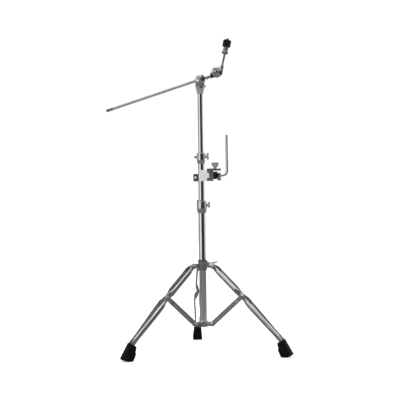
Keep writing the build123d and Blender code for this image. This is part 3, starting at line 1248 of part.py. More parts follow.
# ---------------------------------------------------------------- cymbal tilter
def build_cymbal_tilter():
    """Rear disc on the boom, front disc with the rod boss, and the wing screw that locks them."""
    disc_centre = (CYMBAL_DISC_ALONG, CYMBAL_DISC_ABOVE)
    neck_plane = Plane(origin=TILTER_PIVOT, x_dir=(0, 1, 0), z_dir=BOOM_DIRECTION)
    with BuildPart() as cymbal_tilter_base:
        with BuildSketch(BOOM_PLANE.offset(BOOM_Y - CYMBAL_BASE_BACK)):
            with Locations(disc_centre):
                Circle(CYMBAL_DISC_RADIUS)
        extrude(amount=CYMBAL_BASE_BACK - CYMBAL_BASE_FRONT)
        with BuildSketch(neck_plane.offset(SLEEVE_END)):
            Circle(NECK_RADIUS)
        extrude(amount=CYMBAL_DISC_ALONG - SLEEVE_END)
        with BuildSketch(BOOM_PLANE.offset(BOOM_Y - CYMBAL_BASE_FRONT)):
            with Locations(disc_centre):
                Circle(CYMBAL_DISC_RADIUS + FREE_GAP)
        extrude(amount=CYMBAL_DISC_RADIUS, mode=Mode.SUBTRACT)
        with BuildSketch(neck_plane.offset(SLEEVE_END)):
            Circle(BOOM_RADIUS)
        extrude(amount=BOOM_TIP - SLEEVE_END, mode=Mode.SUBTRACT)
        with BuildSketch(BOOM_PLANE.offset(BOOM_Y - CYMBAL_BASE_BACK)):
            with Locations(disc_centre):
                Circle(CYMBAL_SCREW_RADIUS)
        extrude(amount=CYMBAL_BASE_BACK - CYMBAL_BASE_FRONT, mode=Mode.SUBTRACT)
    save(cymbal_tilter_base, "cymbal_tilter_base")

    with BuildPart() as neck_bush:
        with BuildSketch(neck_plane.offset(SLEEVE_END)):
            Circle(NECK_BUSH_RADIUS)
            Circle(NECK_RADIUS, mode=Mode.SUBTRACT)
        extrude(amount=CYMBAL_DISC_ALONG - SLEEVE_END)
        with BuildSketch(BOOM_PLANE):
            with Locations(disc_centre):
                Circle(CYMBAL_DISC_RADIUS + FREE_GAP)
        extrude(amount=CYMBAL_DISC_RADIUS, both=True, mode=Mode.SUBTRACT)
    save(neck_bush, "neck_bush")

    arm_back = CYMBAL_BASE_FRONT - FREE_GAP
    with BuildPart() as cymbal_tilter_arm:
        with BuildSketch(BOOM_PLANE.offset(BOOM_Y - arm_back)):
            with Locations(disc_centre):
                Circle(CYMBAL_DISC_RADIUS)
        extrude(amount=arm_back - CYMBAL_ARM_FRONT)
        with BuildSketch(ROD_PLANE.offset(ROD_Y - arm_back)):
            with Locations((0, (BOSS_START + BOSS_TOP) / 2)):
                Rectangle(BOSS_WIDTH, BOSS_TOP - BOSS_START)
        extrude(amount=arm_back - CYMBAL_ARM_FRONT)
        with BuildSketch(Plane(origin=ROD_FOOT, x_dir=(0, 1, 0), z_dir=ROD_DIRECTION)):
            Circle(ROD_RADIUS)
        extrude(amount=2 * BOSS_TOP, mode=Mode.SUBTRACT)
        with BuildSketch(BOOM_PLANE.offset(BOOM_Y - arm_back)):
            with Locations(disc_centre):
                Circle(CYMBAL_SCREW_RADIUS + RUNNING_FIT)
        extrude(amount=arm_back - CYMBAL_ARM_FRONT, mode=Mode.SUBTRACT)
    save(cymbal_tilter_arm, "cymbal_tilter_arm")

    wing_angle = radians(CYMBAL_WING_ANGLE)
    screw_reach = CYMBAL_BASE_BACK - CYMBAL_ARM_FRONT - CYMBAL_SCREW_SHORTFALL
    build_wing_screw(
        "cymbal_wing_screw",
        Plane(
            origin=(CYMBAL_CENTRE_X, CYMBAL_ARM_FRONT - FREE_GAP, CYMBAL_CENTRE_Z),
            x_dir=(cos(wing_angle), 0, sin(wing_angle)),
            z_dir=(0, -1, 0),
        ),
        hub=(7.0, 10.0),
        shank=(CYMBAL_SCREW_RADIUS - RUNNING_FIT, screw_reach),
        lobe_foot=(8.0, 8.0),
        lobe_tip=(15.5, 13.5),
        lobe_radius=5.0,
        thickness=5.0,
    )


def build_cymbal_rod():
    """Threaded rod with its lock nut, seat, nylon sleeve, felts and top nut."""
    build_turned(
        "cymbal_rod",
        ROD_PLANE,
        ROD_AXIS,
        (
            (0, 0),
            (ROD_RADIUS, 0),
            (ROD_RADIUS, ROD_NUT_TOP),
            (ROD_RADIUS - 1, ROD_NUT_TOP + 1),
            (0, ROD_NUT_TOP + 1),
        ),
    )
    build_turned(
        "rod_lock_nut",
        ROD_PLANE,
        ROD_AXIS,
        (
            (ROD_RADIUS, BOSS_TOP),
            (LOCK_NUT_RADIUS, BOSS_TOP),
            (LOCK_NUT_RADIUS, BOSS_TOP + LOCK_NUT_BAND),
            (LOCK_NUT_TIP_RADIUS, BOSS_TOP + LOCK_NUT_HEIGHT),
            (ROD_RADIUS, BOSS_TOP + LOCK_NUT_HEIGHT),
        ),
    )
    build_turned(
        "cymbal_seat",
        ROD_PLANE,
        ROD_AXIS,
        (
            (ROD_RADIUS, ROD_SEAT_START),
            (ROD_SEAT_RADIUS - 1, ROD_SEAT_START),
            (ROD_SEAT_RADIUS, ROD_SEAT_START + ROD_SEAT_BEVEL),
            (ROD_SEAT_RADIUS, ROD_SEAT_STEP - ROD_SEAT_NECK),
            (ROD_SEAT_LIP_RADIUS, ROD_SEAT_STEP),
            (ROD_SEAT_LIP_RADIUS, ROD_SEAT_TOP),
            (SLEEVE_WALL_RADIUS, ROD_SEAT_TOP),
            (SLEEVE_WALL_RADIUS, ROD_SEAT_STEP),
            (ROD_RADIUS, ROD_SEAT_STEP),
        ),
    )
    build_turned(
        "nylon_sleeve",
        ROD_PLANE,
        ROD_AXIS,
        (
            (ROD_RADIUS, ROD_SEAT_STEP),
            (SLEEVE_WALL_RADIUS, ROD_SEAT_STEP),
            (SLEEVE_WALL_RADIUS, FELT_TOP - 1),
            (ROD_RADIUS, FELT_TOP - 1),
        ),
    )
    for label, bottom, top in (
        ("lower_felt", ROD_SEAT_TOP, FELT_SPLIT - FELT_GAP),
        ("upper_felt", FELT_SPLIT, FELT_TOP - FELT_GAP),
    ):
        build_turned(
            label,
            ROD_PLANE,
            ROD_AXIS,
            (
                (SLEEVE_WALL_RADIUS, bottom),
                (FELT_RADIUS - FELT_EDGE, bottom),
                (FELT_RADIUS, bottom + FELT_EDGE),
                (FELT_RADIUS, top - FELT_EDGE),
                (FELT_RADIUS - FELT_EDGE, top),
                (SLEEVE_WALL_RADIUS, top),
            ),
        )
    build_turned(
        "top_nut",
        ROD_PLANE,
        ROD_AXIS,
        (
            (ROD_RADIUS + RUNNING_FIT, FELT_TOP),
            (FELT_RADIUS - FELT_EDGE, FELT_TOP),
            (FELT_RADIUS, FELT_TOP + 1),
            (FELT_RADIUS - 0.6, ROD_NUT_TOP - TOP_NUT_BEVEL),
            (FELT_RADIUS - 3.0, ROD_NUT_TOP),
            (TOP_NUT_CROWN_RADIUS, ROD_NUT_TOP),
            (TOP_NUT_TIP_RADIUS * 2, ROD_TIP - TOP_NUT_BEVEL),
            (TOP_NUT_TIP_RADIUS, ROD_TIP),
            (0, ROD_TIP),
            (0, ROD_NUT_TOP + 2),
            (ROD_RADIUS + RUNNING_FIT, ROD_NUT_TOP + 2),
        ),
    )


build_mast()
build_tripod()
build_lower_clamp()
build_upper_clamp()
build_tom_clamp_halves()
build_tom_clamp_fasteners()
build_ball_and_rod()
build_boom_tilter()
build_boom()
build_cymbal_tilter()
build_cymbal_rod()
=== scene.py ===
import json
from math import asin, cos, dist, pi, radians, sin, sqrt

import bmesh
import bpy
import numpy as np
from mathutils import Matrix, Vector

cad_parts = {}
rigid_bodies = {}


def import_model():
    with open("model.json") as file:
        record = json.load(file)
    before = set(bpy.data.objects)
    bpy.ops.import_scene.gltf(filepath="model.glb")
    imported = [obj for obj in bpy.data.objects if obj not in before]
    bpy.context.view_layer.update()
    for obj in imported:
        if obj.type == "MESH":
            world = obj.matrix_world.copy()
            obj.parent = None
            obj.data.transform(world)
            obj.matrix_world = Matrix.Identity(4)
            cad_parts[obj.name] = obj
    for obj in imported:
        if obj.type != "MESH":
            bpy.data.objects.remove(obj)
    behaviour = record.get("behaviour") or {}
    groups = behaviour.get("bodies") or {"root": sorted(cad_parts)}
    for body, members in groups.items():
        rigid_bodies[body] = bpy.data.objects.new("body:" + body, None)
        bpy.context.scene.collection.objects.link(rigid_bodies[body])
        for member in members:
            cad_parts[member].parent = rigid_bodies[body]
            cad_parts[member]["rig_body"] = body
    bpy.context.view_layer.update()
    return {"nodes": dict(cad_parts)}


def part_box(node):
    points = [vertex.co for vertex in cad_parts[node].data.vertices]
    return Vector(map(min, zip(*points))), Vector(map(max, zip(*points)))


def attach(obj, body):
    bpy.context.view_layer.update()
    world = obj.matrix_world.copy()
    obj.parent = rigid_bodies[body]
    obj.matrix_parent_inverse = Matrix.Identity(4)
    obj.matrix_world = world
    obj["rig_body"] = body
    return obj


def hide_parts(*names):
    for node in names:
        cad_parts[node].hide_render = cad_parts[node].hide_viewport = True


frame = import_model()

# Cymbal boom stand. The geometry below is in millimetres in the CAD's frame, and new_piece() turns it
# into metres: origin on the floor under the mast, +Z up, +X towards the cymbal, wing handles facing -Y.
scene = bpy.context.scene
MM = 0.001
X, Y, Z = np.eye(3)
ORIGIN = (0.0, 0.0, 0.0)


def slanted(degrees):
    """Direction in the XZ plane, counted from +X upwards."""
    return np.array((cos(radians(degrees)), 0.0, sin(radians(degrees))))


# Mast: walls of the tubes, and heights of the wing screws
TUBE_WALLS = {"base_tube": 1.25, "middle_tube": 1.2, "upper_tube": 1.2}
LOWER_SCREW_HEIGHT = 537.0
UPPER_SCREW_HEIGHT = 714.0

# Tripod, in the plane of one leg as (radius, height)
LEG_AZIMUTHS = {"rear": 94.3, "left": 214.3, "right": 334.3}
COLLAR_PIVOT = (36.0, 316.0)
BRACKET_PIVOT = (36.0, 104.0)
KNEE = (156.0, 210.0)
LEG_SHOULDER = ((51.0, 309.0), (70.0, 291.0))
LEG_ANKLE = (305.0, 57.0)
LEG_TOE = (318.5, 34.0)
STRIP_THICKNESS = 3.0
STRIP_HALF_DEPTH = 8.0
STRIP_HEAD_RADIUS = 9.0
STRIP_CROWN = 0.5
STRIP_LIP = 2.6
PINCH_HALF_GAP = 4.3
UPPER_HALF_GAP = 14.5
LOWER_HALF_GAP = 17.0
FOOT_HALF_GAP = 7.5
RIVET_RADIUS = 3.0
RIVET_HEAD_RADIUS = 4.6
RIVET_HEAD_HEIGHT = 1.8
LUG_RADIUS = 7.5
COLLAR_WING_AZIMUTH = 34.3
BRACKET_GAP = 6.4
BRACKET_EAR = 3.5

# Accessory clamp. BOLT_AXIS and L_ROD_PATH are (x, z)
CLAMP_BORE = 11.15
HINGE_AXIS = (25.0, -12.5, 0.0)
BOLT_AXIS = (-21.0, 637.0)
# x where the painted shade on the clamp's ear ends: faces left of it get a dark copy of the plating
EAR_SHADE_END_X = -9.0
BALL_CENTRE = np.array((51.0, 0.0, 644.0))
BALL_RADIUS = 14.0
L_ROD_PATH = ((40.0, 644.0), (94.0, 644.0), (94.0, 792.0))
L_ROD_RADIUS = 4.75
L_ROD_BEND = 20.0

# Boom tilter, boom and cymbal rod. Angles are in degrees
TILTER_PIVOT = np.array((0.0, -19.0, 992.5))
TILTER_AXIS = (0.0, 0.0, TILTER_PIVOT[2])
TILTER_SHOULDER = 973.0
DRUM_RADIUS = 19.0
DRUM_DOME = 3.4
BOOM_RADIUS = 5.25
BOOM_TAIL = -334.0
BOOM_RINGS = (-253.0, -172.0, -92.0)
BOOM_FLUTES = 40
BOOM_SLOPE = 17.8
BOOM_DIRECTION = slanted(BOOM_SLOPE)
BOOM_UP = slanted(BOOM_SLOPE + 90)
CYMBAL_DISC = TILTER_PIVOT + 66.7 * BOOM_DIRECTION + 7.0 * BOOM_UP
DISC_AXIS = (CYMBAL_DISC[0], 0.0, CYMBAL_DISC[2])
DISC_RADIUS = 21.0
DISC_DOME = 3.6
ROD_LEAN = 12.4
ROD_DIRECTION = slanted(90 - ROD_LEAN)
ROD_ACROSS = slanted(-ROD_LEAN)
ROD_FOOT = np.array((CYMBAL_DISC[0], -26.25, CYMBAL_DISC[2])) + 15.5 * ROD_ACROSS
ROD_RADIUS = 3.9
ROD_LENGTH = 120.4
THREAD_PITCH = 1.5
THREAD_DEPTH = 0.35
LARGE_WINGS = dict(hub=(7.0, 10.0), foot=(8.0, 8.0), tip=(15.5, 13.5), lobe=5.0, thickness=5.0)

# Studio, and the light round the stand as (degrees from the camera's side, brightness)
STUDIO_RADIUS = 9000.0
STUDIO_STEPS = 96
LIGHT_AROUND = (
    (-180, 0.35), (-82, 0.22), (-70, 0.9), (-26, 0.9), (-16, 0.03), (60, 0.03), (76, 0.35), (95, 0.5),
    (120, 0.7), (180, 0.6),
)
LIGHT_STRENGTH = 2.0


# ---- meshes
def new_piece(name, points, faces, crisp=40.0):
    """Mesh object from points in millimetres. Edges that turn by more than crisp degrees stay sharp."""
    mesh = bpy.data.meshes.new(name)
    mesh.from_pydata((np.asarray(points, float) * MM).tolist(), [], faces)
    work = bmesh.new()
    work.from_mesh(mesh)
    bmesh.ops.recalc_face_normals(work, faces=work.faces)
    work.to_mesh(mesh)
    work.free()
    mesh.shade_smooth()
    mesh.set_sharp_from_angle(angle=radians(crisp))
    piece = bpy.data.objects.new(name, mesh)
    scene.collection.objects.link(piece)
    return piece


def merged(*parts):
    """Several (points, faces) pairs as one pair."""
    points, faces = [], []
    for part_points, part_faces in parts:
        faces.extend([index + len(points) for index in face] for face in part_faces)
        points.extend(part_points)
    return points, faces


def bend(start, corner, end, share):
    """Point a share of the way round a corner."""
    return (1 - share) ** 2 * start + 2 * share * (1 - share) * corner + share**2 * end


def eased(outline, size):
    """The outline with its corners rounded, but not where it meets the turning axis."""
    rounded = []
    count = len(outline)
    for index, point in enumerate(outline):
        here = np.array(point, float)
        if here[0] < 1e-6:
            rounded.append(here)
            continue
        before = np.array(outline[index - 1], float) - here
        after = np.array(outline[(index + 1) % count], float) - here
        reach = min(size, 0.45 * np.hypot(*before), 0.45 * np.hypot(*after))
        start = here + reach * before / np.hypot(*before)
        end = here + reach * after / np.hypot(*after)
        for share in (0.0, 0.3, 0.7, 1.0):
            rounded.append(bend(start, here, end, share))
    return rounded


def turning_axes(direction):
    """The unit direction and two more square to it."""
    axis = np.asarray(direction, float) / np.linalg.norm(direction)
    side = np.cross(axis, X if abs(axis[0]) < 0.8 else Y)
    side /= np.linalg.norm(side)
    return axis, side, np.cross(axis, side)


def spun(origin, direction, outline, steps=96, ripple=None):
    """An outline of (radius, along) turned about an axis. ripple(angle) scales the radius."""
    axis, side, up = turning_axes(direction)
    points = []
    rows = []
    for radius, along in outline:
        centre = origin + axis * along
        if radius < 1e-6:
            rows.append([len(points)] * steps)
            points.append(centre)
            continue
        rows.append(list(range(len(points), len(points) + steps)))
        for step in range(steps):
            angle = 2 * pi * step / steps
            reach = radius * (ripple(angle) if ripple else 1.0)
            points.append(centre + reach * (cos(angle) * side + sin(angle) * up))
    closes = outline[0][0] > 1e-6 or outline[-1][0] > 1e-6
    faces = []
    for first, second in zip(rows, rows[1:] + (rows[:1] if closes else [])):
        for step in range(steps):
            after = (step + 1) % steps
            face = list(dict.fromkeys((first[step], first[after], second[after], second[step])))
            if len(face) > 2:
                faces.append(face)
    return points, faces


def swept_faces(rows, steps):
    """Quads between rings of points, with a flat face over each end."""
    faces = []
    for start in range(0, (rows - 1) * steps, steps):
        for step in range(steps):
            after = (step + 1) % steps
            faces.append([start + step, start + after, start + steps + after, start + steps + step])
    return faces + [list(range(steps)), list(range((rows - 1) * steps, rows * steps))]


# ---- castings, as rounded distance fields measured at an array of points
def split(at, origin, axis):
    """Distance along an axis and away from it."""
    offset = at - origin
    along = offset @ axis
    across = np.sqrt(np.maximum((offset**2).sum(1) - along**2, 0.0))
    return along, across


def meet(first, second, edge):
    """Two distances met at a rounded edge."""
    first = first + edge
    second = second + edge
    outside = np.hypot(np.maximum(first, 0), np.maximum(second, 0))
    return outside + np.minimum(np.maximum(first, second), 0) - edge


def disc(at, origin, axis, radius, start, end, edge=0.8):
    """Cylinder from start to end along its axis."""
    along, across = split(at, origin, axis)
    return meet(across - radius, np.abs(along - (start + end) / 2) - (end - start) / 2, edge)


def taper(at, origin, axis, stations, radii, edge=0.8):
    """Turned body whose radius runs from station to station."""
    along, across = split(at, origin, axis)
    middle = (stations[0] + stations[-1]) / 2
    half = (stations[-1] - stations[0]) / 2
    side = 0.96 * (across - np.interp(along, stations, radii))
    return meet(side, np.abs(along - middle) - half, edge)


def block(at, centre, half, edge=0.8, axes=np.eye(3)):
    """Box with rounded edges."""
    offset = np.abs((at - centre) @ np.transpose(axes)) - half + edge
    outside = np.sqrt((np.maximum(offset, 0) ** 2).sum(1))
    return outside + np.minimum(offset.max(1), 0) - edge


def join(first, second, fillet):
    """Union of two fields with a fillet between them."""
    share = np.clip(0.5 + 0.5 * (second - first) / fillet, 0, 1)
    return second + (first - second) * share - fillet * share * (1 - share)


def cut(first, second, fillet):
    """The first field with the second taken out of it."""
    return -join(-first, second, fillet)


def bored(whole, at, radius, low, high, fillet, origin=ORIGIN, axis=Z):
    """The field with a round hole, on the mast axis if no other is given."""
    return cut(whole, disc(at, origin, axis, radius, low, high, 0.1), fillet)


def common(first, second, fillet):
    """What is inside both fields."""
    return -join(-first, -second, fillet)


def settle(field, points, cell):
    """Points moved onto the surface along the slope of the field."""
    reach = 0.1 * cell
    for _ in range(3):
        slopes = [field(points + reach * step) - field(points - reach * step) for step in np.eye(3)]
        slope = np.stack(slopes, axis=-1) / (2 * reach)
        steep = np.maximum((slope**2).sum(1), 0.1)
        points = points + np.clip(-(field(points) / steep)[:, None] * slope, -0.6 * cell, 0.6 * cell)
    return points


def skin(field, low, high, cell):
    """Closed mesh of quads over the surface where a distance field is zero."""
    low = np.array(low, float) - 2 * cell
    counts = np.ceil((np.array(high, float) + 2 * cell - low) / cell).astype(int) + 1
    ticks = [low[i] + cell * np.arange(counts[i]) for i in range(3)]
    grid = np.stack(np.meshgrid(*ticks, indexing="ij"), axis=-1)
    values = field(grid.reshape(-1, 3)).reshape(counts)
    inside = values < 0

    def corners(array, shift):
        return array[tuple(slice(s, n - 1 + s) for s, n in zip(shift, array.shape))]

    filled = sum(corners(inside, s).astype(int) for s in np.ndindex(2, 2, 2))
    crossed = (filled > 0) & (filled < 8)
    number = np.full(crossed.shape, -1)
    number[crossed] = np.arange(crossed.sum())
    cells = np.argwhere(crossed).astype(float)
    total = np.zeros_like(cells)
    count = np.zeros(len(cells))
    for axis in range(3):
        for pair in np.ndindex(2, 2):
            start = np.insert(pair, axis, 0)
            end = np.insert(pair, axis, 1)
            first = corners(values, start)[crossed]
            second = corners(values, end)[crossed]
            hit = (first < 0) != (second < 0)
            share = np.where(hit, first / np.where(hit, first - second, 1.0), 0.0)
            spot = cells + start
            spot[:, axis] += share
            total += spot * hit[:, None]
            count += hit
    points = settle(field, low + cell * total / count[:, None], cell)
    faces = []
    for axis in range(3):
        others = [i for i in range(3) if i != axis]
        near = tuple(slice(0, -1) if i == axis else slice(1, -1) for i in range(3))
        far = tuple(slice(1, None) if i == axis else slice(1, -1) for i in range(3))
        spots = np.argwhere(inside[near] != inside[far])
        spots[:, others] += 1
        ring = []
        for back in ((1, 1), (0, 1), (0, 0), (1, 0)):
            place = spots.copy()
            place[:, others] -= back
            ring.append(number[tuple(place.T)])
        faces.append(np.stack(ring, axis=-1))
    return points, np.concatenate(faces).tolist()


def placed(part, origin, axes):
    """A part made in its own axes, moved to its place: axes are its three directions in the frame."""
    points, faces = part
    return np.matmul(points, axes) + origin, faces


def leg_axes(azimuth):
    """Directions out along a leg, sideways across it, and up."""
    angle = radians(azimuth)
    out = np.array((cos(angle), sin(angle), 0.0))
    return np.array((out, np.cross(Z, out), Z))


# ---- materials
def node(tree, kind, inputs=None, **settings):
    """Shader node with its inputs set to values or linked to sockets."""
    made = tree.nodes.new("ShaderNode" + kind)
    for key, value in settings.items():
        setattr(made, key, value)
    for key, value in (inputs or {}).items():
        if isinstance(value, bpy.types.NodeSocket):
            tree.links.new(value, made.inputs[key])
        else:
            made.inputs[key].default_value = value
    return made


def blank_material(name):
    """Material with its nodes cleared but for the coordinates that stay with the piece."""
    material = bpy.data.materials.new(name)
    material.use_nodes = True
    tree = material.node_tree
    tree.nodes.clear()
    place = node(tree, "TexCoord").outputs["Object"]
    return material, tree, place


def noise(tree, place, scale, detail=3.0, roughness=0.55, stretch=(1.0, 1.0, 1.0)):
    """Noise value over a piece. scale counts features per metre."""
    mapping = node(tree, "Mapping", {"Vector": place, "Scale": stretch})
    settings = dict(Vector=mapping.outputs["Vector"], Scale=scale, Detail=detail, Roughness=roughness)
    return node(tree, "TexNoise", settings).outputs["Fac"]


def spread(tree, value, low, high, out_low, out_high):
    """The value carried from one range to another."""
    ranges = {"Value": value, "From Min": low, "From Max": high, "To Min": out_low, "To Max": out_high}
    return node(tree, "MapRange", ranges).outputs["Result"]


def colours(tree, value, *stops):
    """Colour ramp over a value, from (position, colour) stops."""
    ramp = node(tree, "ValToRGB", {"Fac": value})
    elements = ramp.color_ramp.elements
    while len(elements) < len(stops):
        elements.new(0.5)
    for element, (position, colour) in zip(elements, stops):
        element.position = position
        element.color = (*colour, 1.0)
    return ramp.outputs["Color"]


def maths(tree, operation, first, second):
    """One sum on two values."""
    return node(tree, "Math", {0: first, 1: second}, operation=operation).outputs["Value"]


def finished(material, tree, tone, roughness, bump, **more):
    """Principled shader on the output. bump is (height, strength, distance), and _ means a space."""
    inputs = {"Base Color": tone, "Roughness": roughness}
    inputs.update({key.replace("_", " "): value for key, value in more.items()})
    if bump:
        settings = dict(zip(("Height", "Strength", "Distance"), bump))
        inputs["Normal"] = node(tree, "Bump", settings).outputs["Normal"]
    shader = node(tree, "BsdfPrincipled", inputs)
    node(tree, "OutputMaterial", {"Surface": shader.outputs["BSDF"]})
    return material


def grey(level, blue=0.0):
    """Grey with a touch of blue."""
    return level, level, level + blue


def chrome(name, bright, dull, gloss, haze, ripple, metal=1.0):
    """Chrome plate: faint polishing lines, handling smudges and a slightly uneven surface below."""
    material, tree, place = blank_material(name)
    smudge = noise(tree, place, 38.0, detail=4.0)
    lines = noise(tree, place, 420.0, detail=2.0, stretch=(1.0, 1.0, 0.04))
    tone = colours(tree, smudge, (0.36, dull), (0.6, bright))
    roughness = spread(tree, maths(tree, "MULTIPLY", smudge, lines), 0.12, 0.42, gloss, haze)
    return finished(material, tree, tone, roughness, (lines, ripple, 0.00001), Metallic=metal)


def knurled(name):
    """Chrome rod with a fine diamond knurl between the flutes."""
    material, tree, place = blank_material(name)
    lines = []
    for degrees in (18 + 32, 18 - 32):
        turn = {"Vector": place, "Rotation": (0.0, radians(degrees), 0.0)}
        turned = node(tree, "Mapping", turn).outputs["Vector"]
        wave = {"Vector": turned, "Scale": 210.0, "Distortion": 0.4, "Detail": 1.0}
        bands = node(tree, "TexWave", wave, wave_type="BANDS", bands_direction="X")
        lines.append(bands.outputs["Fac"])
    diamonds = maths(tree, "MINIMUM", *lines)
    tone = colours(tree, noise(tree, place, 60.0), (0.35, grey(0.50, 0.02)), (0.65, grey(0.58, 0.02)))
    roughness = spread(tree, diamonds, 0.0, 1.0, 0.46, 0.34)
    return finished(material, tree, tone, roughness, (diamonds, 0.15, 0.0001), Metallic=0.7)


def black_nylon(name):
    """Moulded black nylon with a fine grain and a soft shine."""
    material, tree, place = blank_material(name)
    grain = noise(tree, place, 1500.0, detail=3.0)
    flow = noise(tree, place, 90.0, detail=2.0)
    tone = colours(tree, flow, (0.35, grey(0.004, 0.001)), (0.7, grey(0.010, 0.001)))
    roughness = spread(tree, grain, 0.3, 0.7, 0.34, 0.52)
    return finished(material, tree, tone, roughness, (grain, 0.25, 0.00008), Specular_IOR_Level=0.25)


def black_rubber(name):
    """Moulded rubber: matt, with a sandy grain, faint dust and scuffed patches."""
    material, tree, place = blank_material(name)
    grain = noise(tree, place, 1100.0, detail=5.0, roughness=0.7)
    dust = noise(tree, place, 70.0, detail=5.0, roughness=0.65)
    roughness = spread(tree, dust, 0.3, 0.7, 0.52, 0.74)
    stops = ((0.3, 0.002), (0.55, 0.004), (0.8, 0.011))
    tone = colours(tree, dust, *((position, grey(level, 0.001)) for position, level in stops))
    return finished(material, tree, tone, roughness, (grain, 0.45, 0.00022), Specular_IOR_Level=0.12)


def black_felt(name):
    """Pressed black felt: matted short fibres with a pale bloom."""
    material, tree, place = blank_material(name)
    fibres = noise(tree, place, 1900.0, detail=6.0, roughness=0.75, stretch=(1.0, 1.0, 2.2))
    tufts = noise(tree, place, 420.0, detail=4.0, roughness=0.7)
    matted = maths(tree, "MULTIPLY", fibres, tufts)
    tone = colours(tree, matted, (0.12, grey(0.003, 0.001)), (0.4, grey(0.012, 0.001)))
    roughness = spread(tree, tufts, 0.3, 0.7, 0.86, 1.0)
    return finished(
        material, tree, tone, roughness, (matted, 0.9, 0.0006),
        Specular_IOR_Level=0.1, Sheen_Weight=0.06, Sheen_Roughness=0.6,
    )


def pale_floor(name):
    """Matt off-white studio floor with a barely seen mottle."""
    material, tree, place = blank_material(name)
    mottle = noise(tree, place, 2.5, detail=4.0)
    tone = colours(tree, mottle, (0.3, grey(0.90, 0.01)), (0.7, grey(0.93)))
    glow = dict(Emission_Color=tone, Emission_Strength=0.45)
    return finished(material, tree, tone, 0.9, None, Specular_IOR_Level=0.1, **glow)


def lit_backdrop(name):
    """Evenly lit white paper."""
    material, tree, place = blank_material(name)
    mottle = noise(tree, place, 0.6, detail=2.0)
    tone = colours(tree, mottle, (0.3, grey(0.985, 0.005)), (0.7, grey(1.0)))
    glow = node(tree, "Emission", {"Color": tone, "Strength": 1.05})
    node(tree, "OutputMaterial", {"Surface": glow.outputs["Emission"]})
    return material


FINISHES = {
    "chrome_tube": chrome("polished_chrome_tube", grey(0.88, 0.03), grey(0.80, 0.04), 0.045, 0.11, 0.05),
    "chrome_casting": chrome("plated_casting", grey(0.80, 0.03), grey(0.68, 0.04), 0.10, 0.22, 0.08),
    "chrome_strip": chrome("plated_strip", grey(0.66, 0.03), grey(0.56, 0.03), 0.10, 0.18, 0.05),
    "chrome_screw": chrome("plated_screw", grey(0.80, 0.03), grey(0.66, 0.04), 0.09, 0.20, 0.08),
    "knurled_rod": knurled("knurled_chrome"),
    "black_nylon": black_nylon("moulded_nylon"),
    "black_rubber": black_rubber("moulded_rubber"),
    "black_felt": black_felt("pressed_felt"),
}
SATIN = chrome("satin_casting", grey(0.44, 0.02), grey(0.36, 0.02), 0.34, 0.46, 0.05, metal=0.4)
# Dark, shaded copy of the plating: painted shade on the accessory clamp's ear
PAINTED_SHADE_PLATE = chrome("painted_shade_casting", grey(0.16, 0.01), grey(0.11, 0.01), 0.30, 0.42, 0.05, metal=0.6)
# Pale, barely metallic copy of the plating: painted highlight on the accessory clamp's jaw and bolt
PAINTED_HIGHLIGHT_PLATE = chrome("painted_highlight_plate", grey(0.84, 0.02), grey(0.77, 0.03), 0.40, 0.50, 0.04, metal=0.15)
DULL = chrome("dull_plate", grey(0.24, 0.01), grey(0.17, 0.01), 0.30, 0.42, 0.06, metal=0.6)

# Pieces that look different from their slot's usual finish; the clamp jaw and its bolt carry painted
# highlight
OWN_FINISH = {
    "tilter_base": SATIN, "tom_clamp_body": DULL, "tom_clamp_jaw": PAINTED_HIGHLIGHT_PLATE, "tom_clamp_bolt": PAINTED_HIGHLIGHT_PLATE,
    "tom_ball_screw": SATIN, "lower_wing_screw": SATIN, "upper_wing_screw": SATIN,
    "tripod_collar": DULL, "cymbal_rod": DULL, "rod_lock_nut": DULL, "cymbal_seat": DULL,
    "boom_end_cap": DULL,
}


def paint_shade_left_of(piece, material, edge):
    """Painted shade: a second, dark finish on the faces to the left of an x, in millimetres."""
    piece.data.materials.append(material)
    for face in piece.data.polygons:
        if (face.center / MM).x < edge:
            face.material_index = 1


def made_piece(cad_node, how, part, crisp=40.0):
    """Piece with the place, body and slot of its CAD node, whose packed material is named as its slot."""
    piece = new_piece(f"{cad_node}_{how}", *part, crisp=crisp)
    finish = frame["nodes"][cad_node].data.materials[0].name
    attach(piece, frame["nodes"][cad_node]["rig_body"])
    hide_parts(cad_node)
    piece.data.materials.append(OWN_FINISH.get(cad_node, FINISHES[finish]))
    return piece


def turned_piece(cad_node, origin, direction, outline, ease=0.6, steps=96, ripple=None):
    """Turned part in place of its CAD node, with eased corners."""
    return made_piece(cad_node, "turned", spun(origin, direction, eased(outline, ease), steps, ripple))


def cast_piece(cad_node, field, low, high, cell, origin=ORIGIN, axes=np.eye(3)):
    """Casting in place of its CAD node, with fillets. The field is in the part's own axes."""
    return made_piece(cad_node, "cast", placed(skin(field, low, high, cell), origin, axes), 180.0)


# ---- mast
def sleeve(bore, radius, low, high):
    """Turned outline of a plain ring or tube."""
    return (bore, low), (radius, low), (radius, high), (bore, high)


def build_tubes():
    """Three telescoping tubes with eased rims."""
    for cad_node, wall in TUBE_WALLS.items():
        low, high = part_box(cad_node)
        radius = high.x / MM
        outline = sleeve(radius - wall, radius, low.z / MM, high.z / MM)
        turned_piece(cad_node, ORIGIN, Z, outline, 0.5, 128)


def build_bushes():
    """Nylon bushes that the tubes slide in. The collar's has a rim that shows on top."""
    bushes = {
        "lower_bush": sleeve(11.15, 14.5, 525.8, 552.5),
        "upper_bush": sleeve(9.6, 12.6, 699.8, 727.2),
        "collar_bush": ((12.75, 299), (14, 299), (14, 334), (16.2, 334), (15.6, 337), (12.75, 337)),
    }
    for cad_node, outline in bushes.items():
        turned_piece(cad_node, ORIGIN, Z, outline, 0.8)


# ---- shapes shared by several castings
def slot(at, start, end, radius):
    """Distance to a round-ended bar drawn in x and z."""
    flat = at[:, (0, 2)] - start
    line = np.subtract(end, start)
    share = np.clip((flat @ line) / (line @ line), 0, 1)
    return np.hypot(*(flat - share[:, None] * line).T) - radius


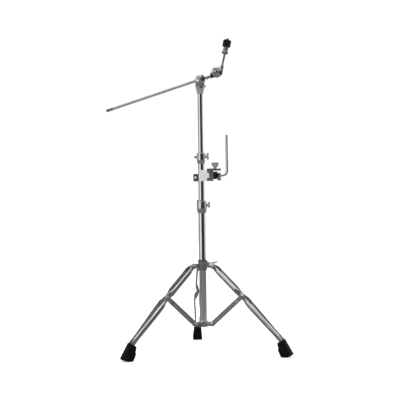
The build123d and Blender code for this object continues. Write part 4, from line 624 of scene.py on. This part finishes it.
def outlined(at, outline, edge=1.0, first=0, second=2):
    """Distance to a convex outline drawn in two of the coordinates."""
    corners = np.asarray(outline, float)
    after = np.roll(corners, -1, axis=0)
    steps = after - corners
    turn = np.sign((corners[:, 0] * after[:, 1] - after[:, 0] * corners[:, 1]).sum())
    normals = turn * np.stack((steps[:, 1], -steps[:, 0]), axis=-1) / np.hypot(*steps.T)[:, None]
    depth = at[:, (first, second)] @ normals.T - (normals * corners).sum(1) + edge
    outside = np.sqrt((np.maximum(depth, 0) ** 2).sum(1))
    return outside + np.minimum(depth.max(1), 0) - edge


def between(values, low, high):
    """Distance to a slab between two coordinates."""
    return np.abs(values - (low + high) / 2) - (high - low) / 2


def wing_field(at, shank, hub, foot, tip, lobe, thickness, bore=None, web=0.0):
    """Hub with two dished wings and a web between them. z runs along the screw and x along the wings."""
    radius, height = hub
    body = taper(at, ORIGIN, Z, (0, height), (radius, 0.95 * radius), 1.0)
    folded = np.stack((np.abs(at[:, 0]), at[:, 1], at[:, 2]), axis=-1)
    outline = slot(folded, foot, tip, lobe)
    if web:
        panel = np.maximum(folded[:, 0] - tip[0] - 0.55 * lobe, between(folded[:, 2], foot[1] - 1, web))
        outline = join(outline, panel, 2.0)
    from_tip = np.hypot(folded[:, 0] - tip[0], folded[:, 2] - tip[1])
    dish = np.clip(1 - (from_tip / (0.75 * lobe)) ** 2, 0, 1)
    half = thickness * (0.5 - 0.1 * dish)
    wings = meet(outline, np.abs(at[:, 1]) - half, 0.3 * thickness)
    whole = join(body, wings, 0.4 * lobe)
    if shank[0]:
        whole = join(whole, disc(at, ORIGIN, Z, shank[0], -shank[1], 2, 0.5), 0.3)
    if bore:
        whole = cut(whole, disc(at, ORIGIN, Z, bore, -2, 3 * height, 0.3), 0.4)
    return whole


def winged_piece(cad_node, face, across, out, shank=(0, 0), **shape):
    """Wing screw, or wing nut if it has a bore."""
    hub, tip, lobe = shape["hub"], shape["tip"], shape["lobe"]
    side = max(hub[0], shank[0])
    low = (-tip[0] - lobe, -side, -shank[1])
    high = (tip[0] + lobe, side, max(tip[1] + lobe, hub[1]))
    axes = (across, np.cross(out, across), out)
    cast_piece(cad_node, lambda at: wing_field(at, shank, **shape), low, high, 0.5, face, axes)


def round_bar(path, radius, tip, steps=48):
    """Round rod along a path in the XZ plane, with its far end rounded."""
    tangents = np.gradient(path, axis=0)
    tangents /= np.linalg.norm(tangents, axis=1, keepdims=True)
    normals = np.cross(tangents, Y)
    rows = [(centre, radius, normal) for centre, normal in zip(path[:-1], normals)]
    for turn in 0.5 * np.pi * np.linspace(0, 1, 6):
        back = tip * (1 - sin(turn))
        rows.append((path[-1] - back * tangents[-1], radius - tip * (1 - cos(turn)), normals[-1]))
    angles = 2 * np.pi * np.arange(steps) / steps
    points = []
    for centre, reach, normal in rows:
        points.extend(centre + reach * (np.cos(a) * Y + np.sin(a) * normal) for a in angles)
    return points, swept_faces(len(rows), steps)


def threaded(origin, direction, radius, start, end, pitch, depth, steps=40):
    """Threaded rod with a helical thread and a small point at its end."""
    axis, side, up = turning_axes(direction)
    rows = int((end - start) / pitch * 6)
    points = []
    for row in range(rows + 1):
        along = start + (end - start) * row / rows
        fade = min(1.0, (end - along) / 1.2, (along - start) / 0.6)
        for step in range(steps):
            angle = 2 * pi * step / steps
            wave = 0.5 - 0.5 * cos(2 * pi * along / pitch - angle)
            reach = radius - depth * (wave if fade >= 1 else 1 + (1 - fade) * 0.8)
            outwards = cos(angle) * side + sin(angle) * up
            points.append(origin + axis * along + reach * outwards)
    return points, swept_faces(rows + 1, steps)


# ---- height clamps
def lower_clamp_field(at):
    """Skirt over the base tube, boss with a rib below it, and a raised lip at the left."""
    body = taper(at, ORIGIN, Z, (507, 523, 556), (14.5, 17.6, 17.6), 1.4)
    body = cut(body, block(at, (16, 0, 561), (24, 40, 10), 0.8), 0.8)
    boss = disc(at, (0, 0, LOWER_SCREW_HEIGHT), X, 8.0, 0, 20, 1.2)
    rib = outlined(at, ((8, 537), (20, 533), (15.5, 514), (8, 514)), 0.8)
    rib = meet(rib, np.abs(at[:, 1]) - 4, 0.8)
    whole = join(join(body, boss, 2.0), rib, 2.0)
    whole = bored(whole, at, 12.72, 480, 527, 0.3)
    return bored(whole, at, 14.52, 525.5, 580, 0.6)


def upper_clamp_field(at):
    """Skirt over the middle tube, boss for the wing screw and a pointed lug across from it."""
    body = taper(at, ORIGIN, Z, (687, 700, 726), (12.5, 15, 15), 1.4)
    boss = disc(at, (0, 0, UPPER_SCREW_HEIGHT), X, 7.0, 0, 17.6, 1.2)
    lug = outlined(at, ((-8, 704), (-25.5, 709.5), (-25.5, 713.5), (-8, 720)), 1.2)
    lug = meet(lug, np.abs(at[:, 1]) - 4, 1.0)
    whole = join(join(body, boss, 2.0), lug, 2.0)
    whole = bored(whole, at, 11.12, 660, 701, 0.3)
    return bored(whole, at, 12.62, 699.5, 760, 0.6)


def build_height_clamps():
    """Both clamp castings and their wing screws."""
    cast_piece("lower_clamp", lower_clamp_field, (-18, -18, 507), (20, 18, 556), 0.6)
    cast_piece("upper_clamp", upper_clamp_field, (-26, -15.5, 687), (18, 15.5, 726), 0.6)
    winged_piece(
        "lower_wing_screw", (20.3, 0, LOWER_SCREW_HEIGHT), Z, X, hub=(4.2, 6.0), foot=(2.5, 3.6),
        tip=(6.9, 7.0), lobe=3.6, thickness=4.0, shank=(3.5, 4.8), web=9.6,
    )
    winged_piece(
        "upper_wing_screw", (17.9, 0, UPPER_SCREW_HEIGHT), Z, X, hub=(4.0, 6.0), foot=(2.8, 3.8),
        tip=(8.6, 7.2), lobe=3.7, thickness=4.0, shank=(3.2, 4.6), web=9.8,
    )


# ---- tripod
def in_leg(at, azimuth):
    """The same points as (out along the leg, sideways, up)."""
    return at @ leg_axes(azimuth).T


def collar_field(at):
    """Ring with a lug per leg and a boss for the wing screw."""
    whole = disc(at, ORIGIN, Z, 16.2, 299, 334, 1.2)
    for azimuth in LEG_AZIMUTHS.values():
        local = in_leg(at, azimuth)
        profile = slot(local, (10, COLLAR_PIVOT[1]), COLLAR_PIVOT, LUG_RADIUS)
        whole = join(whole, meet(profile, np.abs(local[:, 1]) - 4, 0.9), 2.0)
    facing = leg_axes(COLLAR_WING_AZIMUTH)[0]
    whole = join(whole, disc(at, (0, 0, 323), facing, 7.5, 5, 24, 1.0), 2.0)
    return bored(whole, at, 14.02, 280, 360, 0.5)


def bracket_field(at):
    """Ring with a pair of ears for each brace."""
    whole = disc(at, ORIGIN, Z, 16.5, 93, 115, 1.2)
    for azimuth in LEG_AZIMUTHS.values():
        local = in_leg(at, azimuth)
        profile = slot(local, (13, BRACKET_PIVOT[1]), BRACKET_PIVOT, LUG_RADIUS)
        ears = between(np.abs(local[:, 1]), BRACKET_GAP, BRACKET_GAP + BRACKET_EAR)
        whole = join(whole, meet(profile, ears, 0.8), 1.2)
    return bored(whole, at, 12.72, 80, 130, 0.4)


def foot_field(at):
    """Boot on a sole with a line round it, grip grooves on the toe and a socket for the leg."""
    rim = ((308, 0), (303, 5), (293, 25), (294.5, 29.5), (332, 29.5), (343, 10), (335, 3.5), (322, 0))
    sole = outlined(at, rim, 1.5)
    boot = outlined(at, ((296.6, 26), (289.5, 48.5), (312.5, 64), (334, 26)), 2.0)
    height = at[:, 2]
    across = np.abs(at[:, 1]) - (18.0 - 5.5 * (np.clip(height, 6, 64) - 6) / 58)
    whole = meet(join(sole, boot, 2.0), across, 4.0)
    groove = 0.7 * np.exp(-(((height - 7.5) / 0.8) ** 2))
    down_toe = ((at[:, 0] - 312.5) * 30.5 + (64 - height) * 54) / 62
    on_toe = (at[:, 0] > 316) & (down_toe > 12) & (down_toe < 52)
    reach = np.clip((13 - np.abs(at[:, 1])) / 2, 0, 1) * on_toe
    grip = 0.7 * reach * np.exp(-(((down_toe % 8 - 4) / 0.9) ** 2))
    down_leg = np.array((LEG_TOE[0] - LEG_ANKLE[0], 0.0, LEG_TOE[1] - LEG_ANKLE[1]))
    down_leg /= np.linalg.norm(down_leg)
    leg = (down_leg, Y, np.cross(down_leg, Y))
    entry = np.array((LEG_ANKLE[0], 0, LEG_ANKLE[1])) - 4 * down_leg
    return cut(whole + groove + grip, block(at, entry, (7, 11.2, 8.9), 1.0, leg), 0.6)


def brace_field(at):
    """Pressed channel along x with round ends, narrowing to a tongue at the knee and open towards -z."""
    length = dist(BRACKET_PIVOT, KNEE)
    narrow = np.clip((at[:, 0] - (length - 32)) / 6, 0, 1)
    half = 6.0 - 2.0 * narrow**2 * (3 - 2 * narrow)
    outer = meet(slot(at, (0, 0), (length, 0), 8.0), np.abs(at[:, 1]) - half, 1.2)
    inner = meet(np.abs(at[:, 1]) - (half - 1.5), -6.5 - at[:, 2], 0.6)
    return cut(outer, inner, 0.4)


def softened(corners, reach, spacing):
    """Path through the corners with each bend rounded, as evenly spaced points."""
    corners = np.asarray(corners, float)
    path = [corners[0]]
    for before, here, after in zip(corners, corners[1:], corners[2:]):
        arms = [before - here, after - here]
        sizes = [np.linalg.norm(arm) for arm in arms]
        size = min(reach, 0.48 * min(sizes))
        start, end = (here + size * arm / length for arm, length in zip(arms, sizes))
        for share in np.linspace(0, 1, 13):
            path.append(bend(start, here, end, share))
    path.append(corners[-1])
    path = np.array(path)
    travelled = np.concatenate(((0,), np.cumsum(np.linalg.norm(np.diff(path, axis=0), axis=1))))
    marks = np.linspace(0, travelled[-1], int(travelled[-1] / spacing) + 1)
    return marks, np.stack([np.interp(marks, travelled, column) for column in path.T], axis=-1)


def strip_offset(radius):
    """How far the middle of a strip's wall is from the leg's centre plane, at a radius from the mast."""
    gaps = np.array((PINCH_HALF_GAP, UPPER_HALF_GAP, LOWER_HALF_GAP, FOOT_HALF_GAP))
    pinch, upper, lower, toe = gaps + STRIP_THICKNESS / 2
    collar, knee = COLLAR_PIVOT[0], KNEE[0]
    stations = (
        (collar - 16, pinch), (collar + 10, pinch), (collar + 26, upper), (knee - 19, upper),
        (knee - 7, pinch), (knee + 7, pinch), (knee + 22, lower), (knee + 44, lower),
        (288.0, toe), (343.0, toe),
    )
    path = softened(stations, 5.0, 1.0)[1]
    return np.interp(radius, path[:, 0], path[:, 1])


def strip_section(half_depth, crown, lip):
    """Closed outline of a pressed strip as (outwards, along its depth): crowned, with edges turned in."""
    outline = []
    half = STRIP_THICKNESS / 2
    depths = np.sin(np.linspace(-0.5, 0.5, 17) * pi)
    for side, order in ((1, depths), (-1, depths[::-1])):
        for depth in order:
            bow = crown * (1 - depth**2) - lip * depth**8
            outline.append((side * (half - 0.8 * abs(depth) ** 8) + bow, half_depth * depth))
    return outline


def leg_strip(side):
    """One strip of a leg in the leg's own axes. side is +1 or -1."""
    marks, path = softened((COLLAR_PIVOT, *LEG_SHOULDER, KNEE, LEG_ANKLE, LEG_TOE), 9.0, 2.0)
    slope = np.gradient(path, axis=0)
    slope /= np.linalg.norm(slope, axis=1, keepdims=True)
    head = [-STRIP_HEAD_RADIUS * cos(radians(turn)) for turn in (4, 14, 26, 38, 50, 62, 74, 86)]
    rows = [(along, COLLAR_PIVOT + along * slope[0], slope[0]) for along in head]
    rows += zip(marks, path, slope)
    points = []
    for along, centre, direction in rows:
        round_half = sqrt(max(STRIP_HEAD_RADIUS**2 - along**2, 0.0))
        half_depth = max(round_half, STRIP_HALF_DEPTH) if along > 0 else round_half
        near_knee = abs(centre[0] - KNEE[0])
        ease = min((centre[0] - 52) / 20, (near_knee - 12) / 14, (300 - centre[0]) / 20)
        ease = min(max(ease, 0.0), 1.0)
        shaped = ease**2 * (3 - 2 * ease)
        normal = np.array((-direction[1], direction[0]))
        for out, depth in strip_section(half_depth, STRIP_CROWN * shaped, STRIP_LIP * shaped):
            spot = centre + depth * normal
            points.append((spot[0], side * (strip_offset(spot[0]) + out), spot[1]))
    return points, swept_faces(len(rows), len(points) // len(rows))


def rivet_outline(start, end, both=True):
    """Turned outline of a rivet with a domed head past its end, and past its start too if both."""
    dome = ((0.0, 1.0), (0.45, 0.97), (0.8, 0.75), (0.96, 0.4), (1.0, 0.12), (1.0, 0.0))
    if both:
        low = [(RIVET_HEAD_RADIUS * r, start - RIVET_HEAD_HEIGHT * h) for r, h in dome]
        low.append((RIVET_RADIUS, start))
    else:
        low = [(0, start), (RIVET_RADIUS - 0.4, start), (RIVET_RADIUS, start + 0.4)]
    high = [(RIVET_HEAD_RADIUS * r, end + RIVET_HEAD_HEIGHT * h) for r, h in dome[::-1]]
    return [*low, (RIVET_RADIUS, end), *high]


def build_tripod():
    """Collar, bracket and the three legs."""
    cast_piece("tripod_collar", collar_field, (-45, -45, 299), (45, 45, 334), 0.7)
    cast_piece("lower_bracket", bracket_field, (-45, -45, 93), (45, 45, 115), 0.6)
    facing, sideways, _ = leg_axes(COLLAR_WING_AZIMUTH)
    lean = radians(25)
    across = sin(lean) * Z - cos(lean) * sideways
    winged_piece(
        "collar_wing_screw", 24.3 * facing + 323 * Z, across, facing, hub=(6.0, 18.0), foot=(3.0, 16.0),
        tip=(10.5, 31.0), lobe=5.0, thickness=4.5, shank=(3.9, 9.5),
    )
    foot = skin(foot_field, (288, -19, -0.5), (344, 19, 65), 0.8)
    brace = skin(brace_field, (-9, -6.5, -9), (169, 6.5, 9), 0.6)
    strips = {1: leg_strip(1), -1: leg_strip(-1)}
    along = np.subtract(KNEE, BRACKET_PIVOT) / dist(BRACKET_PIVOT, KNEE)
    bracket_rivets = []
    for name, azimuth in LEG_AZIMUTHS.items():
        axes = leg_axes(azimuth)
        out, sideways, up = axes
        for letter, side in (("a", 1), ("b", -1)):
            made_piece(f"{name}_leg_strip_{letter}", "pressed", placed(strips[side], ORIGIN, axes))
        rivets = [
            spun(radius * out + height * up, sideways, rivet_outline(-7.3, 7.3), 40)
            for radius, height in (COLLAR_PIVOT, KNEE)
        ]
        made_piece(f"{name}_leg_rivets", "turned", merged(*rivets))
        made_piece(f"{name}_foot", "moulded", placed(foot, ORIGIN, axes), 180)
        lengthwise = along[0] * out + along[1] * up
        brace_axes = (lengthwise, sideways, -along[1] * out + along[0] * up)
        origin = BRACKET_PIVOT[0] * out + BRACKET_PIVOT[1] * up
        made_piece(f"{name}_brace", "pressed", placed(brace, origin, brace_axes), 180)
        for side in (-1, 1):
            outline = rivet_outline(BRACKET_GAP, BRACKET_GAP + BRACKET_EAR, False)
            bracket_rivets.append(spun(origin, side * sideways, outline, 40))
    made_piece("bracket_rivets", "turned", merged(*bracket_rivets))


# ---- accessory clamp
def clamp_shell(at, side):
    """Half of the clamp with its ear for the bolt. side is +1 behind the tube and -1 in front."""
    flipped = at * np.array((1.0, side, 1.0))
    plan = outlined(flipped, ((-11, 1), (-11, 13), (-6, 16), (21, 16), (21, 1)), 1.2, 0, 1)
    shell = meet(plan, between(at[:, 2], 624, 664), 1.0)
    ear_low = 624 if side > 0 else 623
    ear = block(flipped, (-18.5, 4, (ear_low + 650) / 2), (10.5, 3, (650 - ear_low) / 2), 1.0)
    return join(shell, ear, 2.5)


def tom_body_field(at):
    """Rear half of the clamp, the block that holds the ball, the bridge over it and two knuckles."""
    whole = clamp_shell(at, 1)
    block_height = (624 + 669.5) / 2
    housing = block(at, (36.8, 0, block_height), (7.2, 13, 22.75), 1.6)
    web = block(at, (32, 8, block_height), (12, 7, 22.75), 1.6)
    bridge = block(at, (48, 0, 665.5), (10, 9, 4), 1.2)
    whole = join(join(join(whole, web, 1.2), housing, 1.5), bridge, 1.2)
    for low, high in ((624, 635), (653, 664)):
        knuckle = disc(at, HINGE_AXIS, Z, 4.0, low, high, 0.6)
        tie = block(at, (29, -12.5, (low + high) / 2), (4, 3.6, (high - low) / 2), 0.6)
        whole = join(whole, join(knuckle, tie, 0.6), 0.8)
    whole = bored(whole, at, CLAMP_BORE, 600, 700, 0.5)
    ball = np.sqrt(((at - BALL_CENTRE) ** 2).sum(1)) - (BALL_RADIUS + 0.05)
    return cut(whole, ball, 0.5)


def tom_jaw_field(at):
    """Front half of the clamp with the middle knuckle."""
    whole = clamp_shell(at, -1)
    whole = cut(whole, disc(at, HINGE_AXIS, Z, 4.4, 600, 700, 0.2), 0.3)
    knuckle = disc(at, HINGE_AXIS, Z, 4.0, 635.3, 652.7, 0.6)
    tie = block(at, (21.5, -12.5, 644), (3.5, 3.4, 8.7), 0.6)
    whole = join(whole, join(knuckle, tie, 0.6), 0.6)
    return bored(whole, at, CLAMP_BORE, 600, 700, 0.5)


def ball_cap_field(at):
    """Chrome ring that closes on the ball, with a tab on top and a slot in front for the rod."""
    axis_point = (0, 0, BALL_CENTRE[2])
    ring = disc(at, axis_point, X, 19.0, 58, 72, 2.2)
    tab = block(at, (65, 0, 663.5), (7, 9, 6), 1.5)
    whole = join(ring, tab, 2.0)
    whole = cut(whole, taper(at, axis_point, X, (50, 58, 60, 80), (12.6, 12.6, 11, 11), 0.1), 0.8)
    return cut(whole, block(at, (65, -20, 644), (30, 20, 7.5), 1.0), 1.2)


def build_accessory_clamp():
    """Clamp on the middle tube with its ball, cap, screws and L-shaped rod."""
    body = cast_piece("tom_clamp_body", tom_body_field, (-30, -18, 623), (59, 17, 670), 0.7)
    jaw = cast_piece("tom_clamp_jaw", tom_jaw_field, (-30, -18, 622), (30, 0, 665), 0.6)
    # Painted shade: the ears of both clamp halves get the dark copy of the plating
    for half in (body, jaw):
        paint_shade_left_of(half, PAINTED_SHADE_PLATE, EAR_SHADE_END_X)
    cast_piece("tom_ball_cap", ball_cap_field, (57, -20, 624), (73, 20, 671), 0.6)
    turned_piece("tom_hinge_pin", HINGE_AXIS, Z, sleeve(0, 2, 624, 664), 0.4, 32)
    bolt = ((0, -19), (3, -19), (3, 7), (4.4, 7), (4.2, 9.4), (3.2, 10.3), (0, 10.5))
    turned_piece("tom_clamp_bolt", (BOLT_AXIS[0], 0, BOLT_AXIS[1]), -Y, bolt, 0.4, 48)
    winged_piece(
        "tom_wing_nut", (BOLT_AXIS[0], 7.3, BOLT_AXIS[1]), Z, Y,
        hub=(6.0, 9.0), foot=(3.0, 5.0), tip=(5.5, 10.0), lobe=3.0, thickness=4.0, bore=3.05,
    )
    winged_piece(
        "tom_ball_screw", (BALL_CENTRE[0], 0, 669.8), X, Z, hub=(4.4, 9.0), foot=(3.0, 9.5),
        tip=(6.8, 15.5), lobe=6.5, thickness=6.0, shank=(3.5, 8.6), web=21.5,
    )
    mouth = asin((L_ROD_RADIUS + 0.05) / BALL_RADIUS)
    turns = np.linspace(mouth, pi - mouth, 40)
    arc = [(BALL_RADIUS * sin(turn), -BALL_RADIUS * cos(turn)) for turn in turns]
    turned_piece("tom_ball", BALL_CENTRE, X, arc, 0.1)
    path = softened(L_ROD_PATH, L_ROD_BEND, 1.5)[1]
    path = np.stack((path[:, 0], 0 * path[:, 0], path[:, 1]), axis=-1)
    made_piece("l_rod", "bent", round_bar(path, L_ROD_RADIUS, 2.0))


# ---- boom tilter
def hexagon(at, origin, axis, across, half, start, end, edge=0.6):
    """Six-sided bar: half is the distance from its axis to a flat."""
    offset = at - origin
    along = offset @ axis
    up = np.cross(axis, across)
    angles = (0, pi / 3, 2 * pi / 3)
    sides = [np.abs(offset @ (cos(a) * across + sin(a) * up)) - half for a in angles]
    flats = common(common(*sides[:2], 0.2), sides[2], 0.2)
    return meet(flats, between(along, start, end), edge)


def tilter_base_field(at):
    """Socket on the upper tube that carries the round ear of the tilter."""
    stations = (942, TILTER_SHOULDER - 4, TILTER_SHOULDER)
    socket = taper(at, ORIGIN, Z, stations, (11.35, 16.5, 16.5), 1.2)
    ear = disc(at, TILTER_AXIS, Y, DRUM_RADIUS, -8.3, 8.0, 1.2)
    waist = block(at, (0, -0.15, TILTER_SHOULDER + 5), (16.5, 8.15, 10), 1.2)
    lug = block(at, (17, 0, TILTER_SHOULDER - 3.5), (4, 6, 3.5), 1.0)
    whole = join(join(join(socket, ear, 1.5), waist, 1.5), lug, 1.5)
    whole = cut(whole, block(at, (0, -32, 960), (40, 20, 40), 0.1), 0.8)
    return bored(whole, at, 9.57, 900, 960, 0.3)


def domed(at, centre, radius, front, back, fall):
    """Disc facing -Y whose front is domed, and lower by fall at the rim."""
    _, across = split(at, centre, Y)
    dome = 0.92 * (front - at[:, 1] + fall * (across / radius) ** 2)
    return common(disc(at, centre, Y, radius, -50, back, 0.6), dome, 1.6)


def drum_field(at):
    """Drum bored for the boom, with a domed face."""
    whole = domed(at, TILTER_AXIS, DRUM_RADIUS, -29.0, -8.6, DRUM_DOME)
    return bored(whole, at, 5.3, -60, 60, 0.8, TILTER_PIVOT, BOOM_DIRECTION)


def tilter_screw_field(at):
    """Cap screw with a hexagon socket."""
    centre = (4, 0, TILTER_SHOULDER - 7.5)
    head = disc(at, centre, Y, 4.0, -13.3, -12.0, 0.4)
    whole = join(head, disc(at, centre, Y, 2.5, -13, -6, 0.3), 0.2)
    return cut(whole, hexagon(at, centre, Y, X, 1.6, -15, -12.3, 0.1), 0.2)


def lock_nut_field(at):
    """Hexagon nut with chamfered corners."""
    flats = hexagon(at, TILTER_AXIS, Y, Z, 6.5, 8.3, 12.3, 0.5)
    _, across = split(at, TILTER_AXIS, Y)
    cone = across - 7.3 + 1.2 * np.maximum(at[:, 1] - 11.3, 0)
    return cut(common(flats, cone, 0.3), disc(at, TILTER_AXIS, Y, 4.0, 0, 20, 0.1), 0.3)


def build_boom_tilter():
    """Casting on the upper tube with its screw, and the drum on its tilt bolt with both nuts."""
    cast_piece("tilter_base", tilter_base_field, (-20, -12.5, 941), (21.5, 17, 1012), 0.7)
    cast_piece("tilter_screw", tilter_screw_field, (-0.5, -13.8, 961), (8.5, -5, 970), 0.25)
    cast_piece("boom_drum", drum_field, (-19.5, -29.5, 973), (19.5, -8, 1012), 0.6)
    cast_piece("tilt_lock_nut", lock_nut_field, (-8, 8, 984), (8, 13, 1001), 0.4)
    bolt = ((0, -12.5), (4, -12.5), (4, 12), (8, 12), (8, 26), (4, 26), (4, 40.5), (3.2, 41), (0, 41))
    turned_piece("tilt_bolt", TILTER_AXIS, -Y, bolt, 0.5, 64)
    face = (0, -29.3, TILTER_PIVOT[2])
    winged_piece("boom_wing_nut", face, slanted(50), -Y, **LARGE_WINGS, bore=4.05)


# ---- boom
def build_boom():
    """Fluted boom rod with ring marks, its end cap and the stop sleeve."""
    radius = BOOM_RADIUS
    outline = [(0, BOOM_TAIL), (radius, BOOM_TAIL)]
    for ring in BOOM_RINGS:
        steps = ((0, -0.8), (0.5, -0.6), (0.5, 0.6), (0, 0.8))
        outline += [(radius - deep, ring + along) for deep, along in steps]
    outline += [(radius, 44.5), (0, 44.5)]
    turned_piece(
        "boom_rod", TILTER_PIVOT, BOOM_DIRECTION, outline, 0.3, 6 * BOOM_FLUTES,
        lambda angle: 1 - 0.015 * abs(sin(0.5 * BOOM_FLUTES * angle)) ** 3,
    )
    cap = ((0, -25), (3.6, -24.6), (radius, -22.5), (5.4, -18), (5.4, -2), (radius, 0), (0, 0))
    cap = [(reach, BOOM_TAIL + along) for reach, along in cap]
    turned_piece("boom_end_cap", TILTER_PIVOT, BOOM_DIRECTION, cap, 0.8, 64)
    stop = ((7, 19.6), (8, 20.8), (8, 28.6), (7.5, 29), (7.5, 30.2), (8, 30.6), (8, 41))
    stop = ((radius, 19.6), *stop, (radius, 41))
    turned_piece("boom_sleeve", TILTER_PIVOT, BOOM_DIRECTION, stop, 0.5)


def dark_reflection_bush_field(at):
    """Nylon bush on the neck, a dark part standing in for the dark reflection where the boom meets the
    disc; hollowed at its end to fit round the disc.
    """
    whole = disc(at, TILTER_PIVOT, BOOM_DIRECTION, 9.4, 41.05, 66.7, 0.9)
    whole = bored(whole, at, DISC_RADIUS + 0.3, -60, 60, 0.4, CYMBAL_DISC, Y)
    return bored(whole, at, 6.6, 0, 90, 0.2, TILTER_PIVOT, BOOM_DIRECTION)


def cymbal_base_field(at):
    """Rear disc of the cymbal tilter on its neck."""
    back, front = -11.5, -21.5
    plate = disc(at, DISC_AXIS, Y, DISC_RADIUS, front, back, 1.6)
    neck = disc(at, TILTER_PIVOT, BOOM_DIRECTION, 6.6, 41, 62, 0.5)
    neck = bored(neck, at, DISC_RADIUS + 0.3, -60, front, 0.3, DISC_AXIS, Y)
    return join(plate, neck, 0.8)


def cymbal_arm_field(at):
    """Front disc of the cymbal tilter, with the boss that the cymbal rod stands in."""
    plate = domed(at, DISC_AXIS, DISC_RADIUS, -31.0, -21.8, DISC_DOME)
    axes = (ROD_ACROSS, Y, ROD_DIRECTION)
    boss = block(at, ROD_FOOT + 5 * ROD_DIRECTION + (0, -0.15, 0), (6, 4.6, 14), 1.4, axes)
    whole = join(plate, boss, 1.5)
    return bored(whole, at, 3.92, 0, 60, 0.4, ROD_FOOT, ROD_DIRECTION)


def build_cymbal_tilter():
    """Neck bush standing in for a dark reflection, both discs and their wing screw."""
    # The black neck bush fills the place of a painted reflection: the joint there shows only dark
    # reflection
    cast_piece("neck_bush", dark_reflection_bush_field, (30, -29, 996), (60, -9, 1023), 0.45)
    cast_piece("cymbal_tilter_base", cymbal_base_field, (36, -26.5, 997), (84, -10.5, 1042), 0.6)
    cast_piece("cymbal_tilter_arm", cymbal_arm_field, (39, -31.5, 997), (88, -21.2, 1043), 0.6)
    face = (CYMBAL_DISC[0], -31.3, CYMBAL_DISC[2])
    winged_piece("cymbal_wing_screw", face, slanted(16.4), -Y, **LARGE_WINGS, shank=(3.95, 17.5))


def uneven(angle):
    """How much a cut felt's edge wanders round its turn."""
    waves = ((0.008, 3, 0.7), (0.006, 7, 2.1), (0.003, 19, 0.0))
    return 1 + sum(size * sin(count * angle + phase) for size, count, phase in waves)


def scalloped(angle):
    """Eighteen shallow finger grooves round the top nut."""
    return 1 - 0.02 * (0.5 - 0.5 * cos(18 * angle))


def build_cymbal_rod():
    """Threaded rod with its lock nut, seat, nylon sleeve, two felts and the top nut."""
    rod = threaded(ROD_FOOT, ROD_DIRECTION, ROD_RADIUS, 0, ROD_LENGTH, THREAD_PITCH, THREAD_DEPTH)
    made_piece("cymbal_rod", "threaded", rod, 60)
    turned = {
        "rod_lock_nut": ((3.9, 19), (6.2, 19), (6.2, 21.5), (4.6, 27), (3.9, 27)),
        "cymbal_seat": (
            (3.9, 68), (10.5, 68), (11.5, 70), (11.5, 76), (8.8, 80), (8.8, 94.2), (5.6, 94.2), (5.6, 80),
            (3.9, 80),
        ),
        "nylon_sleeve": sleeve(3.9, 5.6, 80, 112.3),
    }
    for cad_node, outline in turned.items():
        turned_piece(cad_node, ROD_FOOT, ROD_DIRECTION, outline, 0.7)
    felts = (("lower_felt", 94.2, 99, 104.1), ("upper_felt", 104.3, 109, 113.1))
    for cad_node, low, middle, high in felts:
        outline = ((5.6, low), (14.6, low), (15, middle), (14.6, high), (5.6, high))
        felt = turned_piece(cad_node, ROD_FOOT, ROD_DIRECTION, outline, 1.8, 120, uneven)
    nut = (
        (3.95, 113.3), (14.2, 113.3), (15, 114.3), (14.4, 117.8), (12, 119.4), (5.4, 119.4), (3.6, 124.2),
        (1.8, 125.8), (0, 125.8), (0, 121.4), (3.95, 121.4),
    )
    turned_piece("top_nut", ROD_FOOT, ROD_DIRECTION, nut, 0.8, 144, scalloped)


# ---- studio
def light_world():
    """Studio seen from the stand: brightness by direction round it and by height."""
    world = bpy.data.worlds.new("studio")
    world.use_nodes = True
    tree = world.node_tree
    tree.nodes.clear()
    direction = node(tree, "TexCoord").outputs["Generated"]
    parts = node(tree, "SeparateXYZ", {"Vector": direction}).outputs
    towards = maths(tree, "MULTIPLY", parts["Y"], -1.0)
    angle = maths(tree, "ARCTAN2", parts["X"], towards)
    turn = spread(tree, angle, -pi, pi, 0.0, 1.0)
    stops = [((degrees + 180) / 360, grey(value / LIGHT_STRENGTH)) for degrees, value in LIGHT_AROUND]
    walls = colours(tree, turn, *stops)
    ceiling = spread(tree, parts["Z"], 0.42, 0.6, 0.0, 1.0)
    ground = spread(tree, parts["Z"], -0.055, -0.08, 0.0, 1.0)
    top_light = {"Fac": ceiling, "Color1": walls, "Color2": (0.62, 0.62, 0.63, 1.0)}
    with_top = node(tree, "MixRGB", top_light).outputs["Color"]
    dim_floor = {"Fac": ground, "Color1": with_top, "Color2": (0.10, 0.10, 0.103, 1.0)}
    with_floor = node(tree, "MixRGB", dim_floor).outputs["Color"]
    sky = node(tree, "Background", {"Color": with_floor, "Strength": LIGHT_STRENGTH})
    node(tree, "OutputWorld", {"Surface": sky.outputs["Background"]})
    scene.world = world


def set_stage():
    """Round pale floor with white paper round it. Chrome doesn't mirror either of them."""
    steps = STUDIO_STEPS
    angles = 2 * np.pi * np.arange(steps) / steps
    ring = STUDIO_RADIUS * np.stack((np.cos(angles), np.sin(angles), 0 * angles), axis=-1)
    floor = new_piece("floor", ring, [tuple(range(steps))])
    floor.data.materials.append(pale_floor("pale_floor"))
    around = swept_faces(2, steps)[:-2]
    wall = new_piece("backdrop", np.concatenate((ring - 50 * Z, ring + STUDIO_RADIUS * Z)), around)
    wall.data.materials.append(lit_backdrop("white_paper"))
    for piece in (floor, wall):
        piece.visible_glossy = False
    wall.visible_diffuse = False


def set_camera():
    """Level camera in front of the stand, turned a touch about its own line of sight."""
    lens = bpy.data.cameras.new("camera")
    lens.sensor_width = 36.0
    lens.lens = 85.5
    lens.dof.use_dof = False
    camera = bpy.data.objects.new("camera", lens)
    camera.location = (-0.006, -3.467, 0.555)
    camera.rotation_euler = (radians(90), radians(0.85), 0.0)
    scene.collection.objects.link(camera)
    scene.camera = camera


for build in (
    build_tubes, build_bushes, build_height_clamps, build_tripod, build_accessory_clamp,
    build_boom_tilter, build_boom, build_cymbal_tilter, build_cymbal_rod,
    light_world, set_stage, set_camera,
):
    build()
scene.view_settings.view_transform = "Standard"
